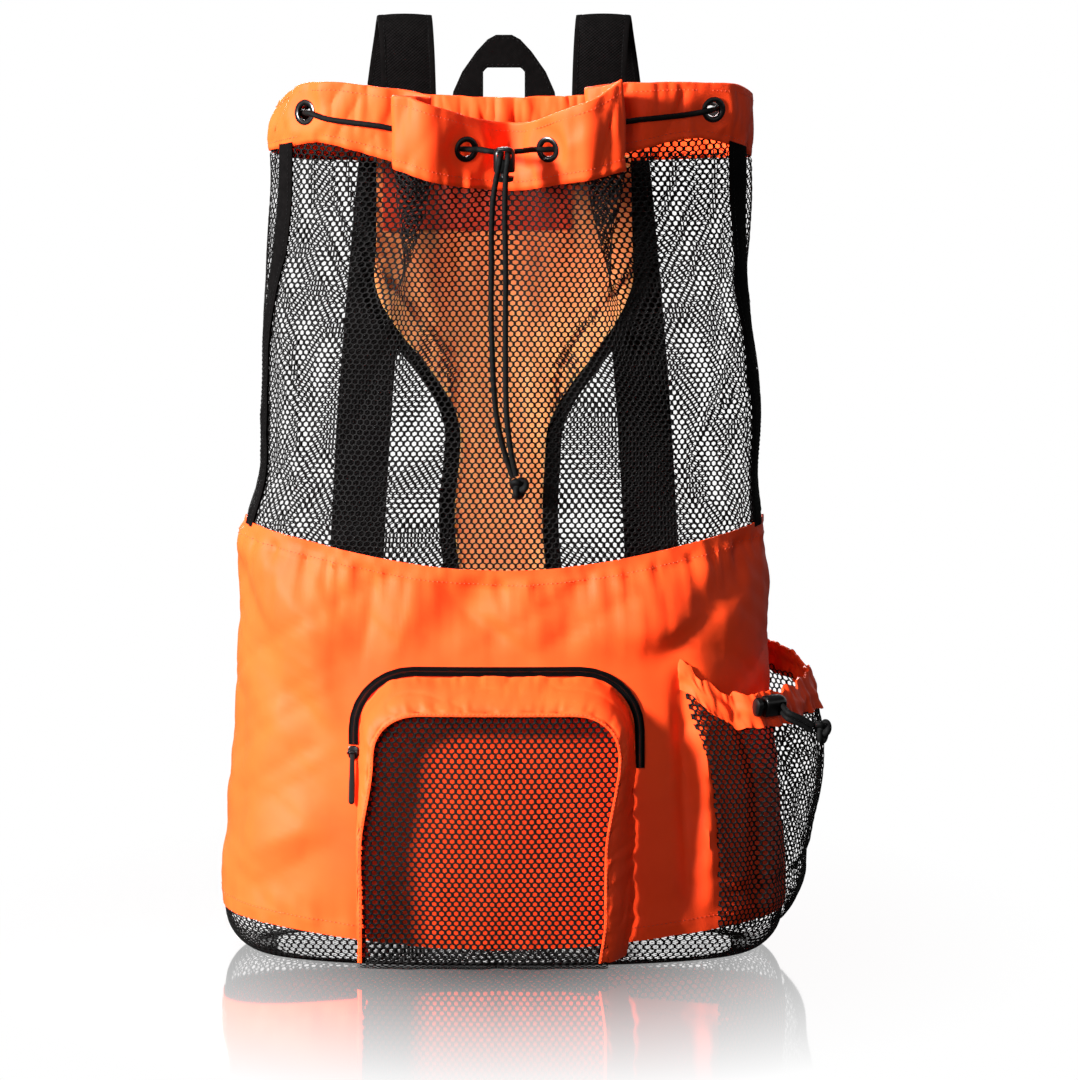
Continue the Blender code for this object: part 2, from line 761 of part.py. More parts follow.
def base_net():
    shares = np.linspace(0.0, 1.0, 37)[:-1]
    radius = base_round(shares)
    foot = wall(shares, 0.0, -radius)
    rows = [foot * (BASE_RING, BASE_RING, 0.0)]
    for turn in np.linspace(0.0, math.pi / 2, 3):
        rows.append(wall(shares, radius * (1 - math.cos(turn)), -radius * (1 - math.sin(turn))))
    rows.append(wall(shares, base_hem(shares) - SEAM_GAP))
    shell("base_net", rows, NET, MESH_NET, around=True, closed_start=True)


def lower_body():
    shares = np.linspace(0.0, 1.0, BODY_COLUMNS + 1)[:-1]
    low, high = base_hem(shares), waist(shares)
    rows = [wall(shares, low + (high - low) * level) for level in np.linspace(0.0, 1.0, 6)]
    shell("lower_body", rows, FABRIC, NYLON, around=True)


def upper_walls():
    """The see-through upper body: three nets, the back panel and the tapes that join them."""
    levels = (0.0, 0.27, 0.50, 0.68, 0.85, 1.0)
    few = (0.0, 0.5, 1.0)
    half = SIDE_TAPE / 2
    shares = closer_shares(0.5 - SIDE_SEAM_SHARE, 0.5 + SIDE_SEAM_SHARE, NET_STEP, NET_FOLD_STEP, FOLDS)
    columns = (shares - shares[0]) / (shares[-1] - shares[0])
    start, end = seam_line(1, -half - BUTT_GAP), seam_line(-1, -half - BUTT_GAP)
    shell("front_net", strip_rows(start, end, columns, levels), NET, MESH_NET)
    for side, word in ((1, "right"), (-1, "left")):
        seam = [seam_line(side, -half), seam_line(side, half)]
        net = [seam_line(side, half + BUTT_GAP), panel_line(side, BINDING_WIDTH + 2 * BUTT_GAP)]
        tape = [panel_line(side, BINDING_WIDTH + BUTT_GAP), panel_line(side, BUTT_GAP)]
        pieces = (
            ("side_binding", seam, few, TAPE, WEBBING),
            ("back_net", net, None, NET, MESH_NET),
            ("panel_binding", tape, few, TAPE, WEBBING),
        )
        for name, lines, columns, thick, finish in pieces:
            start, end = lines[::-1] if side > 0 else lines
            if columns is None:
                columns = body_columns(start, end)
            shell(f"{name}_{word}", strip_rows(start, end, columns, levels), thick, finish)
    left, right = panel_line(-1, 0.0), panel_line(1, 0.0)
    rows = strip_rows(lambda height: left(height) - 1.0, right, np.linspace(0.0, 1.0, 7), levels)
    shell("back_panel", rows, FABRIC, NYLON)


def yoke_patch():
    """The doubled cloth on the inside of the back panel's yoke."""
    top = HEM_LEVEL - PATCH_DROP
    rows = []
    for height in np.linspace(top - PATCH_HEIGHT, top, 4):
        across = np.linspace(-PATCH_WIDTH / 2, PATCH_WIDTH / 2, 7) - PATCH_OFF_CENTRE
        shares = [back_share(x, height) for x in across]
        rows.append(wall(shares, height, -FABRIC - LAY_GAP))
    shell("yoke_patch", rows, FABRIC, NYLON)


def grommet_frames():
    """Share, height, place, outward and along directions of each grommet."""
    frames = []
    for row, level in GROMMETS:
        share = float(np.interp(row, np.arange(len(COLLAR_SHARES)), COLLAR_SHARES))
        height = float(hem(share) + (rim(share) - hem(share)) * level)
        frames.append((share, height, *frame_at(share, height)))
    return frames


def clamped(points, frames):
    """Collar points pressed flat where the grommets clamp the cloth."""
    points = np.array(points)
    for _, _, place, outward, _ in frames:
        offset = points - np.array(place)
        lift = offset @ np.array(outward)
        away = np.linalg.norm(offset, axis=-1)
        held = 1 - smooth((away - CLAMP_REACH * GROMMET_RADIUS) / GROMMET_RADIUS)
        points = points - (held * lift)[..., None] * np.array(outward)
    return points


def collar(frames):
    near = CORD_REACH * GROMMET_RADIUS / GIRTH
    held = tuple((frame[0] - near, frame[0] + near) for frame in frames)
    shares = closer_shares(0.0, 1.0, COLLAR_STEP, COLLAR_FOLD_STEP, FOLDS + held)[:-1]
    low, high = hem(shares), rim(shares)
    rows = [wall(shares, low + (high - low) * level) for level in np.linspace(0.0, 1.0, 4)]
    obj = shell("collar", clamped(rows, frames), FABRIC, NYLON, around=True, side=0.0)
    for number, (_, _, place, outward, _) in enumerate(frames, 1):
        radius = GROMMET_BARREL + SEAM_GAP
        hole = rod(f"grommet_hole_{number}", radius, 0.012, place, outward, None, CUTTERS, 20)
        cut(obj, hole)


def turned_mesh(name, profile, sides):
    """A ring turned about Z from a closed profile of radii and heights."""
    turn = np.linspace(0.0, 2 * math.pi, sides + 1)[:-1]
    rows = [
        np.stack([radius * np.cos(turn), radius * np.sin(turn), 0 * turn + height], axis=1)
        for radius, height in [*profile, profile[0]]
    ]
    shape = bmesh.new()
    shape.from_mesh(sheet_mesh(name, rows, around=True))
    bmesh.ops.remove_doubles(shape, verts=shape.verts, dist=0.00001)
    bmesh.ops.recalc_face_normals(shape, faces=shape.faces)
    mesh = bpy.data.meshes.new(name)
    shape.to_mesh(mesh)
    shape.free()
    mesh.shade_smooth()
    mesh.set_sharp_from_angle(angle=math.radians(50))
    return mesh


def grommets(frames):
    """Turned rings whose two flanges hold the cloth between them."""
    cloth, half = FABRIC / 2 + SEAM_GAP, GROMMET_THICK / 2
    lip = half - cloth
    profile = (
        (GROMMET_HOLE, 0.0),
        (GROMMET_HOLE + lip / 2, half),
        (GROMMET_RADIUS - lip, half),
        (GROMMET_RADIUS, cloth),
        (GROMMET_BARREL, cloth),
        (GROMMET_BARREL, -cloth),
        (GROMMET_RADIUS, -cloth),
        (GROMMET_RADIUS - lip, -half),
        (GROMMET_HOLE + lip / 2, -half),
    )
    mesh = turned_mesh("grommet", profile, 8)
    mesh.materials.append(METAL)
    for number, (_, _, place, outward, _) in enumerate(frames, 1):
        obj = add_object(f"grommet_{number}", mesh, None)
        obj.location = place
        obj.rotation_mode = "QUATERNION"
        obj.rotation_quaternion = outward.to_track_quat("Z", "Y")


def through_grommet(frame, turn):
    """Cord points through a grommet along the wall: turn 1 comes out of the bag, -1 goes in."""
    _, _, place, outward, along = frame
    reach = GROMMET_RADIUS * 0.75
    lift = GROMMET_THICK / 2 + CORD_DIAMETER / 2 + 2 * CORD_GAP
    return [
        place + along * reach * part + outward * turn * lift * math.sin(part * math.pi / 2)
        for part in (-1.0, -0.5, 0.0, 0.5, 1.0)
    ]


def beside_collar(start, end, side):
    """Cord points between two grommets on the outside (1) or the inside (-1) of the collar."""
    lift = side * (GROMMET_THICK / 2 + CORD_DIAMETER / 2 + 2 * CORD_GAP)
    gap = (end[0] - start[0]) % 1.0
    steps = max(2, round(gap * GIRTH / CORD_STEP))
    points = []
    for part in np.linspace(0.0, 1.0, steps + 1)[1:-1]:
        share = start[0] + gap * part
        height = start[1] + (end[1] - start[1]) * part
        if abs(part - 0.5) < 0.5 - CORD_REACH * GROMMET_RADIUS / (gap * GIRTH):
            points.append(Vector(wall(share, height, lift)))
    return points


def behind_fold(row, height):
    """The cord points that round the inner turn of an S fold."""
    rows = row + np.array([-0.6, 0.0, 0.6])
    shares = np.interp(rows, np.arange(len(COLLAR_SHARES)), COLLAR_SHARES)
    return [Vector(place) for place in wall(shares, height, -1.4 * CORD_DIAMETER)]


def lock_matrix(place, button, exit_way):
    """A cord lock's place, from the ways its button and its cord's free side point."""
    down, out = Vector(button).normalized(), Vector(exit_way).normalized()
    turn = Matrix((out.cross(down), -out, -down)).transposed().to_4x4()
    return Matrix.Translation(place) @ turn


def lock_window(matrix):
    """Where the two cords run through a cord lock: back and front points of each."""
    pairs = []
    for side in (-1, 1):
        x = side * (CORD_DIAMETER + CORD_GAP) / 2
        ends = [(x, way * (LOCK_DEPTH / 2 + CORD_GAP), LOCK_WINDOW_RISE) for way in (1, -1)]
        pairs.append([matrix @ Vector(end) for end in ends])
    return pairs


def cord_lock(name, matrix):
    """A spring toggle: a body with a window for the cord, and the button under it."""
    body = block(f"{name}_body", (LOCK_WIDTH, LOCK_DEPTH, LOCK_HEIGHT), (0, 0, 0), PLASTIC,
                 bevel=LOCK_ROUND)
    window = block(
        f"{name}_window",
        (LOCK_WINDOW_WIDTH, 2 * LOCK_DEPTH, LOCK_WINDOW_HEIGHT),
        (0, 0, 0),
        None,
        CUTTERS,
    )
    window.matrix_world = matrix @ Matrix.Translation((0, 0, LOCK_WINDOW_RISE))
    foot = -LOCK_HEIGHT / 2
    grip = BUTTON_STEM - SEAM_GAP
    depth = BUTTON_TRAVEL + BUTTON_HOLD + SEAM_GAP
    recess = rod(f"{name}_recess", BUTTON_STEM, 2 * depth, (0, 0, 0), (0, 0, 1), None, CUTTERS)
    recess.rotation_mode = "XYZ"
    recess.matrix_world = matrix @ Matrix.Translation((0, 0, foot))
    cut(body, window)
    cut(body, recess)
    body.matrix_world = matrix
    lift = BUTTON_TRAVEL + SEAM_GAP
    cap_size = (LOCK_WIDTH - 2 * BUTTON_INSET, LOCK_DEPTH - 2 * BUTTON_INSET, BUTTON_CAP)
    cap = block("cap", cap_size, (0, 0, foot - lift - BUTTON_CAP / 2), PLASTIC, bevel=0.001)
    length = lift + BUTTON_HOLD + BUTTON_CAP / 2
    stem = rod("stem", grip, length, (0, 0, foot + BUTTON_HOLD - length / 2), (0, 0, 1), PLASTIC)
    button = joined(f"{name}_button", [cap, stem], PLASTIC)
    button.matrix_world = matrix


def drawcord_route(frames, matrix):
    """The held part of the drawcord: from behind the cord lock's left hole out to the front left
    grommet, round the collar by the left side and the back, and home to its right hole."""
    by_name = dict(zip(GROMMET_NAMES, frames))
    left, right = (ends[0] for ends in lock_window(matrix))
    route = [left + Vector((-x, y, z)) for x, y, z in LOCK_BEND]
    way = -1
    for index, name in enumerate(GROMMET_NAMES):
        route += through_grommet(by_name[name], way)
        if name in FOLD_ROWS:
            route += behind_fold(FOLD_ROWS[name], by_name[name][1])
        elif index + 1 < len(GROMMET_NAMES):
            route += beside_collar(by_name[name], by_name[GROMMET_NAMES[index + 1]], way)
        way = -way
    route += [right + Vector(step) for step in LOCK_BEND[::-1]]
    return route


def cord_knot(name, place, size):
    mesh = bpy.data.meshes.new(name)
    shape = bmesh.new()
    bmesh.ops.create_uvsphere(shape, u_segments=10, v_segments=6, radius=1.0,
                              matrix=Matrix.Diagonal((*size, 1.0)))
    shape.to_mesh(mesh)
    shape.free()
    mesh.shade_smooth()
    add_object(name, mesh, BRAID).location = place


def drawcord(frames):
    """The collar's cord: the part it holds, its lock, the two hanging ends and their knot."""
    matrix = lock_matrix(LOCK_PLACE, (0, 0, -1), (0, -1, 0))
    tube("drawcord", drawcord_route(frames, matrix), CORD_DIAMETER / 2, BRAID)
    cord_lock("cord_lock", matrix)
    for word, ends, hang in zip(("left", "right"), lock_window(matrix), (TAIL_LEFT, TAIL_RIGHT)):
        start = ends[0] - Vector((0, SEAM_GAP, 0))
        points = [start, (start + ends[1]) / 2, ends[1], *(Vector(point) for point in hang)]
        tube(f"cord_tail_{word}", smooth_line(points), CORD_DIAMETER / 2, BRAID)
    cord_knot("cord_knot", KNOT_PLACE, KNOT_SIZE)


def arch(half, top, corner, foot, arc_steps):
    """An arched outline: (x, height) points up the left leg, over the top and down the right."""
    turn = np.linspace(0.0, math.pi / 2, arc_steps)
    arc_x = -half + corner * (1 - np.cos(turn))
    arc_z = top - corner * (1 - np.sin(turn))
    leg = np.linspace(foot, top - corner, 6)[:-1]
    left = [(-half, z) for z in leg] + list(zip(arc_x, arc_z))
    middle = [(x, top) for x in np.linspace(-half + corner, half - corner, 6)[1:-1]]
    return np.array(left + middle + [(-x, z) for x, z in left[::-1]])


def on_front(outline, out):
    """Wall points for (x, height) points on the bag's front, moved out by a distance."""
    places = [
        wall(front_share(x - POCKET_OFF_CENTRE, height), height, stand)
        for (x, height), stand in zip(outline, np.broadcast_to(out, len(outline)))
    ]
    return np.array(places)


def pocket_outlines():
    """The front pocket's outline on the wall and the smaller one round its net."""
    half = POCKET_WIDTH / 2
    foot = POCKET_FOOT + POCKET_TUCK + SEAM_GAP
    on_wall = arch(half, POCKET_TOP, POCKET_CORNER, foot, 6)
    on_net = arch(half - GUSSET_INSET, POCKET_TOP - GUSSET_DROP, POCKET_CORNER * NET_CORNER, foot, 6)
    return on_wall, on_net


def pocket_stand(x, height):
    """How far the front pocket's net stands out of the wall."""
    half = POCKET_WIDTH / 2 - GUSSET_INSET
    across = np.cos(np.clip(x / half, -1, 1) * math.pi / 2) ** 2
    up = np.sin(np.clip(height / (POCKET_TOP - GUSSET_DROP), 0, 1) * math.pi) ** 2
    return POCKET_DEPTH * (1 + POCKET_BULGE * across * up)


def front_pocket():
    """The pocket's cloth gusset and the net that closes it."""
    on_wall, on_net = pocket_outlines()
    rim_out = POCKET_DEPTH - NET - SEAM_GAP
    between = (on_wall * 0.55 + on_net * 0.45, rim_out * 0.62)
    rows = [on_front(*row) for row in ((on_wall, LAY_GAP + FABRIC), between, (on_net, rim_out))]
    shell("front_pocket_gusset", rows, FABRIC, NYLON)
    half, top = POCKET_WIDTH / 2 - GUSSET_INSET, POCKET_TOP - GUSSET_DROP
    corner = POCKET_CORNER * NET_CORNER
    across = np.linspace(1.0, -1.0, 10)
    rows = []
    for turn in np.linspace(0.0, math.pi / 2, 4)[:-1]:
        height = POCKET_FOOT + POCKET_TUCK * (1 - math.cos(turn))
        reach = LAY_GAP + (POCKET_DEPTH - LAY_GAP) * math.sin(turn)
        rows.append(on_front([(half * x, height) for x in across], reach))
    foot = POCKET_FOOT + POCKET_TUCK
    corner_turns = np.linspace(0.0, math.pi / 2, 5)
    heights = [*np.linspace(foot, top - corner, 6)[:-1], *(top - corner * (1 - np.sin(corner_turns)))]
    for height in heights:
        drop = max(0.0, height - (top - corner))
        width = half - corner + math.sqrt(max(0.0, corner**2 - drop**2))
        row = [(width * x, height) for x in across]
        rows.append(on_front(row, [pocket_stand(x, z) for x, z in row]))
    shell("front_pocket_net", rows, NET, MESH_NET)


def slider_matrix():
    """The zip slider's place below the zip's left end: X along the wall, -Y out of it."""
    x = -POCKET_WIDTH / 2 - LAY_GAP - ZIP_WIDTH / 2
    height = ZIP_START_HEIGHT - SLIDER_LENGTH / 2 - SEAM_GAP
    place, outward, along = frame_at(front_share(x - POCKET_OFF_CENTRE, height), height)
    across = -along
    up = outward.cross(across)
    turn = Matrix((across, -outward, up)).transposed().to_4x4()
    return Matrix.Translation(place + outward * (LAY_GAP + SLIDER_THICK / 2)) @ turn


def zipper():
    """The zip round the pocket's top, its slider and the pull that swings on it."""
    half = POCKET_WIDTH / 2
    rows = []
    for extra in (LAY_GAP, LAY_GAP + ZIP_WIDTH):
        line = arch(half + extra, POCKET_TOP + extra, POCKET_CORNER + extra, ZIP_START_HEIGHT, 8)
        line[-1, 1] = ZIP_END_HEIGHT
        rows.append(on_front(line, LAY_GAP + ZIP_THICK))
    shell("zipper", rows[::-1], ZIP_THICK, WEBBING)

    home = slider_matrix()
    size = (SLIDER_WIDTH, SLIDER_THICK, SLIDER_LENGTH)
    pieces = [block("zip_slider", size, (0, 0, 0), METAL)]
    axis_y = -SLIDER_THICK / 2 - PULL_EYE - SEAM_GAP
    for way in (-1, 1):
        x = way * (PULL_WIDTH / 2 + SEAM_GAP + PULL_LUG / 2)
        size = (PULL_LUG, 2.6 * PULL_EYE, 2 * PULL_EYE)
        pieces.append(block("lug", size, (x, axis_y + 0.3 * PULL_EYE, 0), METAL))
    joined("zip_slider", pieces, METAL).matrix_world = home

    eye = rod("eye", PULL_EYE, PULL_WIDTH, (0, 0, 0), (1, 0, 0), METAL, sides=12)
    bar = block("bar", (PULL_WIDTH, PULL_THICK, PULL_LENGTH), (0, 0, -PULL_LENGTH / 2), METAL)
    pull = joined("zip_pull", [eye, bar], METAL)
    pull.matrix_world = home @ Matrix.Translation((0, axis_y, 0))


def side_rim(part):
    """Height of the side pocket's rim, from its back end (0) to its front end (1)."""
    ends = SIDE_POCKET_BACK_RIM + (SIDE_POCKET_FRONT_RIM - SIDE_POCKET_BACK_RIM) * part
    parts, dips = np.array(SIDE_POCKET_RIM).T
    return ends - SIDE_POCKET_DIP * spline(parts, dips, part)


def side_stand(part, climb):
    """How far the side pocket stands off the wall at a part of its way round and of its height."""
    climbs, stands = np.array(SIDE_POCKET_SWELL).T
    return SIDE_POCKET_BULGE * np.sin(np.pi * part) ** 0.7 * spline(climbs, stands, climb)


def side_rows(low, high, parts, levels):
    """Side pocket points between two heights above its foot, each a function of the part."""
    rows = []
    for level in levels:
        height = low(parts) + (high(parts) - low(parts)) * level
        share = SIDE_POCKET_BACK + (SIDE_POCKET_FRONT - SIDE_POCKET_BACK) * parts
        climb = (height - SIDE_POCKET_FOOT) / (side_rim(parts) - SIDE_POCKET_FOOT)
        rows.append(wall(share, height, 2 * LAY_GAP + NET + side_stand(parts, climb)))
    return rows


def side_pocket():
    """The open pocket on the right side: its net and the cloth hem with the elastic cord."""
    parts = np.linspace(0.0, 1.0, 17)
    foot, seam = (lambda part: SIDE_POCKET_FOOT + 0 * part), (lambda part: side_rim(part) - SIDE_POCKET_BAND)
    levels = (0.0, 0.07, 0.16, 0.3, 0.55, 0.8, 1.0)
    rows = side_rows(foot, lambda part: seam(part) - BUTT_GAP, parts, levels)
    shell("side_pocket_net", rows, NET, MESH_NET)
    rows = side_rows(seam, side_rim, parts, (0.0, 0.5, 1.0))
    shell("side_pocket_hem", rows, FABRIC, NYLON)
    matrix = pocket_lock_matrix()
    cord_lock("pocket_lock", matrix)
    for word, ends, shift in zip(("left", "right"), lock_window(matrix), (-0.5, 0.5)):
        back = (ends[0] - ends[1]).normalized() * (POCKET_CORD_START - 4 * CORD_GAP)
        side = (matrix.to_3x3() @ Vector((1, 0, 0))) * shift * (CORD_DIAMETER + CORD_GAP)
        hang = [matrix.translation + Vector(step) + side for step in POCKET_TAIL]
        points = [ends[0] + back, (ends[0] + ends[1]) / 2, ends[1], *hang]
        tube(f"pocket_tail_{word}", smooth_line(points), CORD_DIAMETER / 2, BRAID)
    cord_knot("pocket_knot", matrix.translation + Vector(POCKET_KNOT), POCKET_KNOT_SIZE)


def lock_height(part):
    return side_rim(part) - SIDE_POCKET_BAND / 4


def pocket_lock_matrix():
    """The side pocket's cord lock stands just off the hem, its cord leaving to the right."""
    place = Vector(side_rows(lock_height, lock_height, np.array([POCKET_LOCK_PART]), (0.0,))[0][0])
    out = Vector(POCKET_CORD_WAY).normalized()
    stand = LOCK_DEPTH / 2 + POCKET_CORD_START + 2 * CORD_GAP
    return lock_matrix(place + out * stand, POCKET_BUTTON_WAY, out)


def straps():
    """Two shoulder straps: sewn behind the collar, looped over above it and down to the base."""
    for side, word in ((-1, "left"), (1, "right")):
        spread = [STRAP_TOP_SPREAD + (STRAP_FOOT_SPREAD - STRAP_TOP_SPREAD) * row[2] for row in STRAP_ROUTE]
        places = []
        for (height, stands, _), x in zip(STRAP_ROUTE, spread):
            level = height * RIM_HEIGHT
            across = [side * x + edge * STRAP_WIDTH / 2 for edge in (-1, 0, 1)]
            back = max(float(wall(back_share(place, level), min(level, RIM_HEIGHT))[1]) for place in across)
            off = FABRIC / 2 + LAY_GAP + STRAP_THICK / 2 + stands * BODY_DEPTH
            places.append((side * x, back + off, level))
        edges = (-STRAP_WIDTH / 2, STRAP_WIDTH / 2)
        rows = [[(x + edge, y, z) for edge in edges] for x, y, z in smooth_line(places)]
        shell(f"strap_{word}", rows, STRAP_THICK, WEBBING, side=0.0)


def haul_handle():
    """A flat loop of webbing sewn behind the collar's middle."""
    crest = HANDLE_SEWN + HANDLE_RISE
    half, top = HANDLE_GAP / 2, crest - HANDLE_BAND
    outer = [(share_x * HANDLE_WIDTH / 2, share_z * crest) for share_x, share_z in HANDLE_OUTLINE]
    inner = [(half, 0.0), (half, top - HANDLE_CORNER), (half - HANDLE_CORNER, top)]
    points = outer + [(-x, z) for x, z in outer[::-1]]
    points += inner + [(-x, z) for x, z in inner[::-1]]
    curve = bpy.data.curves.new("haul_handle", "CURVE")
    curve.dimensions = "2D"
    curve.fill_mode = "BOTH"
    curve.extrude = HANDLE_THICK / 2
    line = curve.splines.new("POLY")
    line.points.add(len(points) - 1)
    line.use_cyclic_u = True
    for point, (x, z) in zip(line.points, points):
        point.co = (x, z, 0.0, 1.0)
    handle = add_object("haul_handle", curve, WEBBING)
    foot = RIM_HEIGHT - HANDLE_SEWN
    back = max(float(wall(back_share(x, foot), foot)[1]) for x, _ in outer)
    handle.location = (0.0, back + LAY_GAP + HANDLE_THICK / 2, foot)
    handle.rotation_euler = (math.pi / 2 - HANDLE_LEAN, 0.0, 0.0)


base_net()
lower_body()
upper_walls()
yoke_patch()
GROMMET_FRAMES = grommet_frames()
collar(GROMMET_FRAMES)
grommets(GROMMET_FRAMES)
drawcord(GROMMET_FRAMES)
front_pocket()
zipper()
side_pocket()
straps()
haul_handle()
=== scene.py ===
import json
import math

import bmesh
import bpy
import numpy as np
from mathutils import Matrix, Vector

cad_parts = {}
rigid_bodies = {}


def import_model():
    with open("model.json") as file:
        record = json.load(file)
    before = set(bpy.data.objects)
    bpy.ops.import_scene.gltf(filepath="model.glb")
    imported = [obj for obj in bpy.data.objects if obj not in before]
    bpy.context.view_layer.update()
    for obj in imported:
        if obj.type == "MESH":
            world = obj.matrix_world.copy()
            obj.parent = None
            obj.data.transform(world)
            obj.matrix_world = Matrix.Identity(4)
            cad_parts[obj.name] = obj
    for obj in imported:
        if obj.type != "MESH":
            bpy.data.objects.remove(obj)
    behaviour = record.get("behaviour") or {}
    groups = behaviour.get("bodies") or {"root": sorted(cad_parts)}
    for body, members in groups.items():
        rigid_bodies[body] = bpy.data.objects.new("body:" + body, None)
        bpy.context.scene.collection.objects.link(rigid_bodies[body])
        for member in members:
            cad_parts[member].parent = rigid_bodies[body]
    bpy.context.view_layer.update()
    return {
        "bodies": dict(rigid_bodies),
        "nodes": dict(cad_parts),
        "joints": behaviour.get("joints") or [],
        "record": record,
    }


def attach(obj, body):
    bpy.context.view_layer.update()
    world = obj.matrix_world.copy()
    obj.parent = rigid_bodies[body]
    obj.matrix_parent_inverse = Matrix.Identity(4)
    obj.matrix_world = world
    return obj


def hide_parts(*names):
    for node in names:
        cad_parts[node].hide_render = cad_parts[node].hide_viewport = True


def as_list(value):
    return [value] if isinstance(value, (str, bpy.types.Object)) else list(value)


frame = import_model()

# Main sizes, in metres, as the part's own solids have them
RIM_HEIGHT = 0.606
BODY_WIDTH = 0.392
BODY_DEPTH = 0.192
WAIST_HEIGHT = 0.3055
WAIST_SAG = 0.025
WAIST_BACK_DROP = 0.058
BASE_HEM_HEIGHT = 0.034
BASE_HEM_SAG = 0.019
BASE_ROUND = 0.012
BASE_CORNER = 0.024
FABRIC = 0.0012
BUTT_GAP = 0.0008
TAPE = 0.0015
SEAM_GAP = 0.0003
LAY_GAP = 0.0005
NET = 0.0012
COLLAR_WIDTH = 0.340
COLLAR_DEPTH = 0.170
COLLAR_HEIGHT = 0.046
HEM_LEVEL = RIM_HEIGHT - COLLAR_HEIGHT
FOLD_REACH = 0.150
COLLAR_TAPER = 0.010
TAPER_REACH = 0.12
PANEL_NECK = 0.057
PANEL_YOKE = 0.176
PANEL_FLARE_LOW = 0.390
PANEL_FLARE_HIGH = 0.492
BINDING_WIDTH = 0.011
SIDE_TAPE = 0.014
SIDE_SEAM_SHARE = 0.225
PATCH_WIDTH = 0.130
PATCH_HEIGHT = 0.048
PATCH_OFF_CENTRE = 0.020
PATCH_DROP = 0.014
POCKET_WIDTH = 0.191
POCKET_TOP = 0.207
POCKET_CORNER = 0.038
POCKET_DEPTH = 0.026
POCKET_OFF_CENTRE = 0.005
GUSSET_DROP = 0.020
GUSSET_INSET = 0.011
POCKET_FOOT = 0.002
POCKET_TUCK = 0.006
POCKET_BULGE = 0.35
NET_CORNER = 0.8
ZIP_WIDTH = 0.0065
ZIP_THICK = 0.0018
ZIP_END_HEIGHT = 0.142
ZIP_START_HEIGHT = 0.158
SLIDER_WIDTH = 0.0075
SLIDER_THICK = 0.0024
SLIDER_LENGTH = 0.0095
PULL_EYE = 0.0012
PULL_LUG = 0.0012
PULL_WIDTH = 0.0045
PULL_THICK = 0.0014
PULL_LENGTH = 0.036
SIDE_POCKET_BULGE = 0.036
SIDE_POCKET_FOOT = 0.024
SIDE_POCKET_FRONT_RIM = 0.2205
SIDE_POCKET_BACK_RIM = 0.221
SIDE_POCKET_DIP = 0.0275
SIDE_POCKET_BAND = 0.024
SIDE_POCKET_BACK = 0.150
SIDE_POCKET_FRONT = 0.352
SIDE_POCKET_LEAN = 0.016
SIDE_LEAN_LOW = 0.115
SIDE_LEAN_RISE = 0.100
POCKET_LOCK_PART = 0.75
CORD_DIAMETER = 0.004
GROMMET_RADIUS = 0.009
GROMMET_HOLE = 0.005
GROMMET_BARREL = 0.0066
GROMMET_THICK = 0.0032
CORD_GAP = 0.0005
CLAMP_REACH = 1.45
CORD_REACH = 1.6
LOCK_WIDTH = 0.0150
LOCK_DEPTH = 0.0110
LOCK_HEIGHT = 0.0175
LOCK_WINDOW_RISE = 0.0035
BUTTON_TRAVEL = 0.0030
BUTTON_CAP = 0.0040
BUTTON_INSET = 0.0008
POCKET_CORD_START = 0.0050
CORD_STEP = 0.016
LOCK_WINDOW_WIDTH = 0.0100
LOCK_WINDOW_HEIGHT = 0.0056
STRAP_WIDTH = 0.038
STRAP_THICK = 0.004
STRAP_TOP_SPREAD = 0.066
STRAP_FOOT_SPREAD = 0.110
HANDLE_FOOT = 0.505
HANDLE_LEAN = math.radians(4.5)
HANDLE_CREST = 0.634
HANDLE_WIDTH = 0.074
HANDLE_GAP = 0.029
HANDLE_GAP_TOP = 0.611
HANDLE_THICK = 0.002
HANDLE_CORNER = 0.003

# The plain form of the bag at some heights. Heights are shares of RIM_HEIGHT, half widths of half
# BODY_WIDTH, front and back of BODY_DEPTH, and lean is how far the section leans to +X, as a share
# of BODY_WIDTH. Squareness 2 is an ellipse.
SECTIONS = (
    # height, half width, front, back, lean, squareness
    (0.000, 0.975, 0.505, 0.440, 0.000, 3.0),
    (0.060, 1.000, 0.530, 0.450, 0.000, 3.0),
    (0.165, 0.985, 0.535, 0.450, 0.000, 2.8),
    (0.280, 0.950, 0.515, 0.440, 0.000, 2.7),
    (0.395, 0.928, 0.485, 0.420, 0.000, 2.6),
    (0.500, 0.920, 0.460, 0.400, 0.000, 2.5),
    (0.540, 0.898, 0.450, 0.391, 0.006, 2.5),
    (0.625, 0.897, 0.425, 0.370, 0.010, 2.4),
    (0.740, 0.880, 0.390, 0.340, 0.005, 2.3),
    (0.870, 0.865, 0.350, 0.300, 0.009, 2.3),
    (1.050, 0.860, 0.320, 0.280, 0.011, 2.3),
)

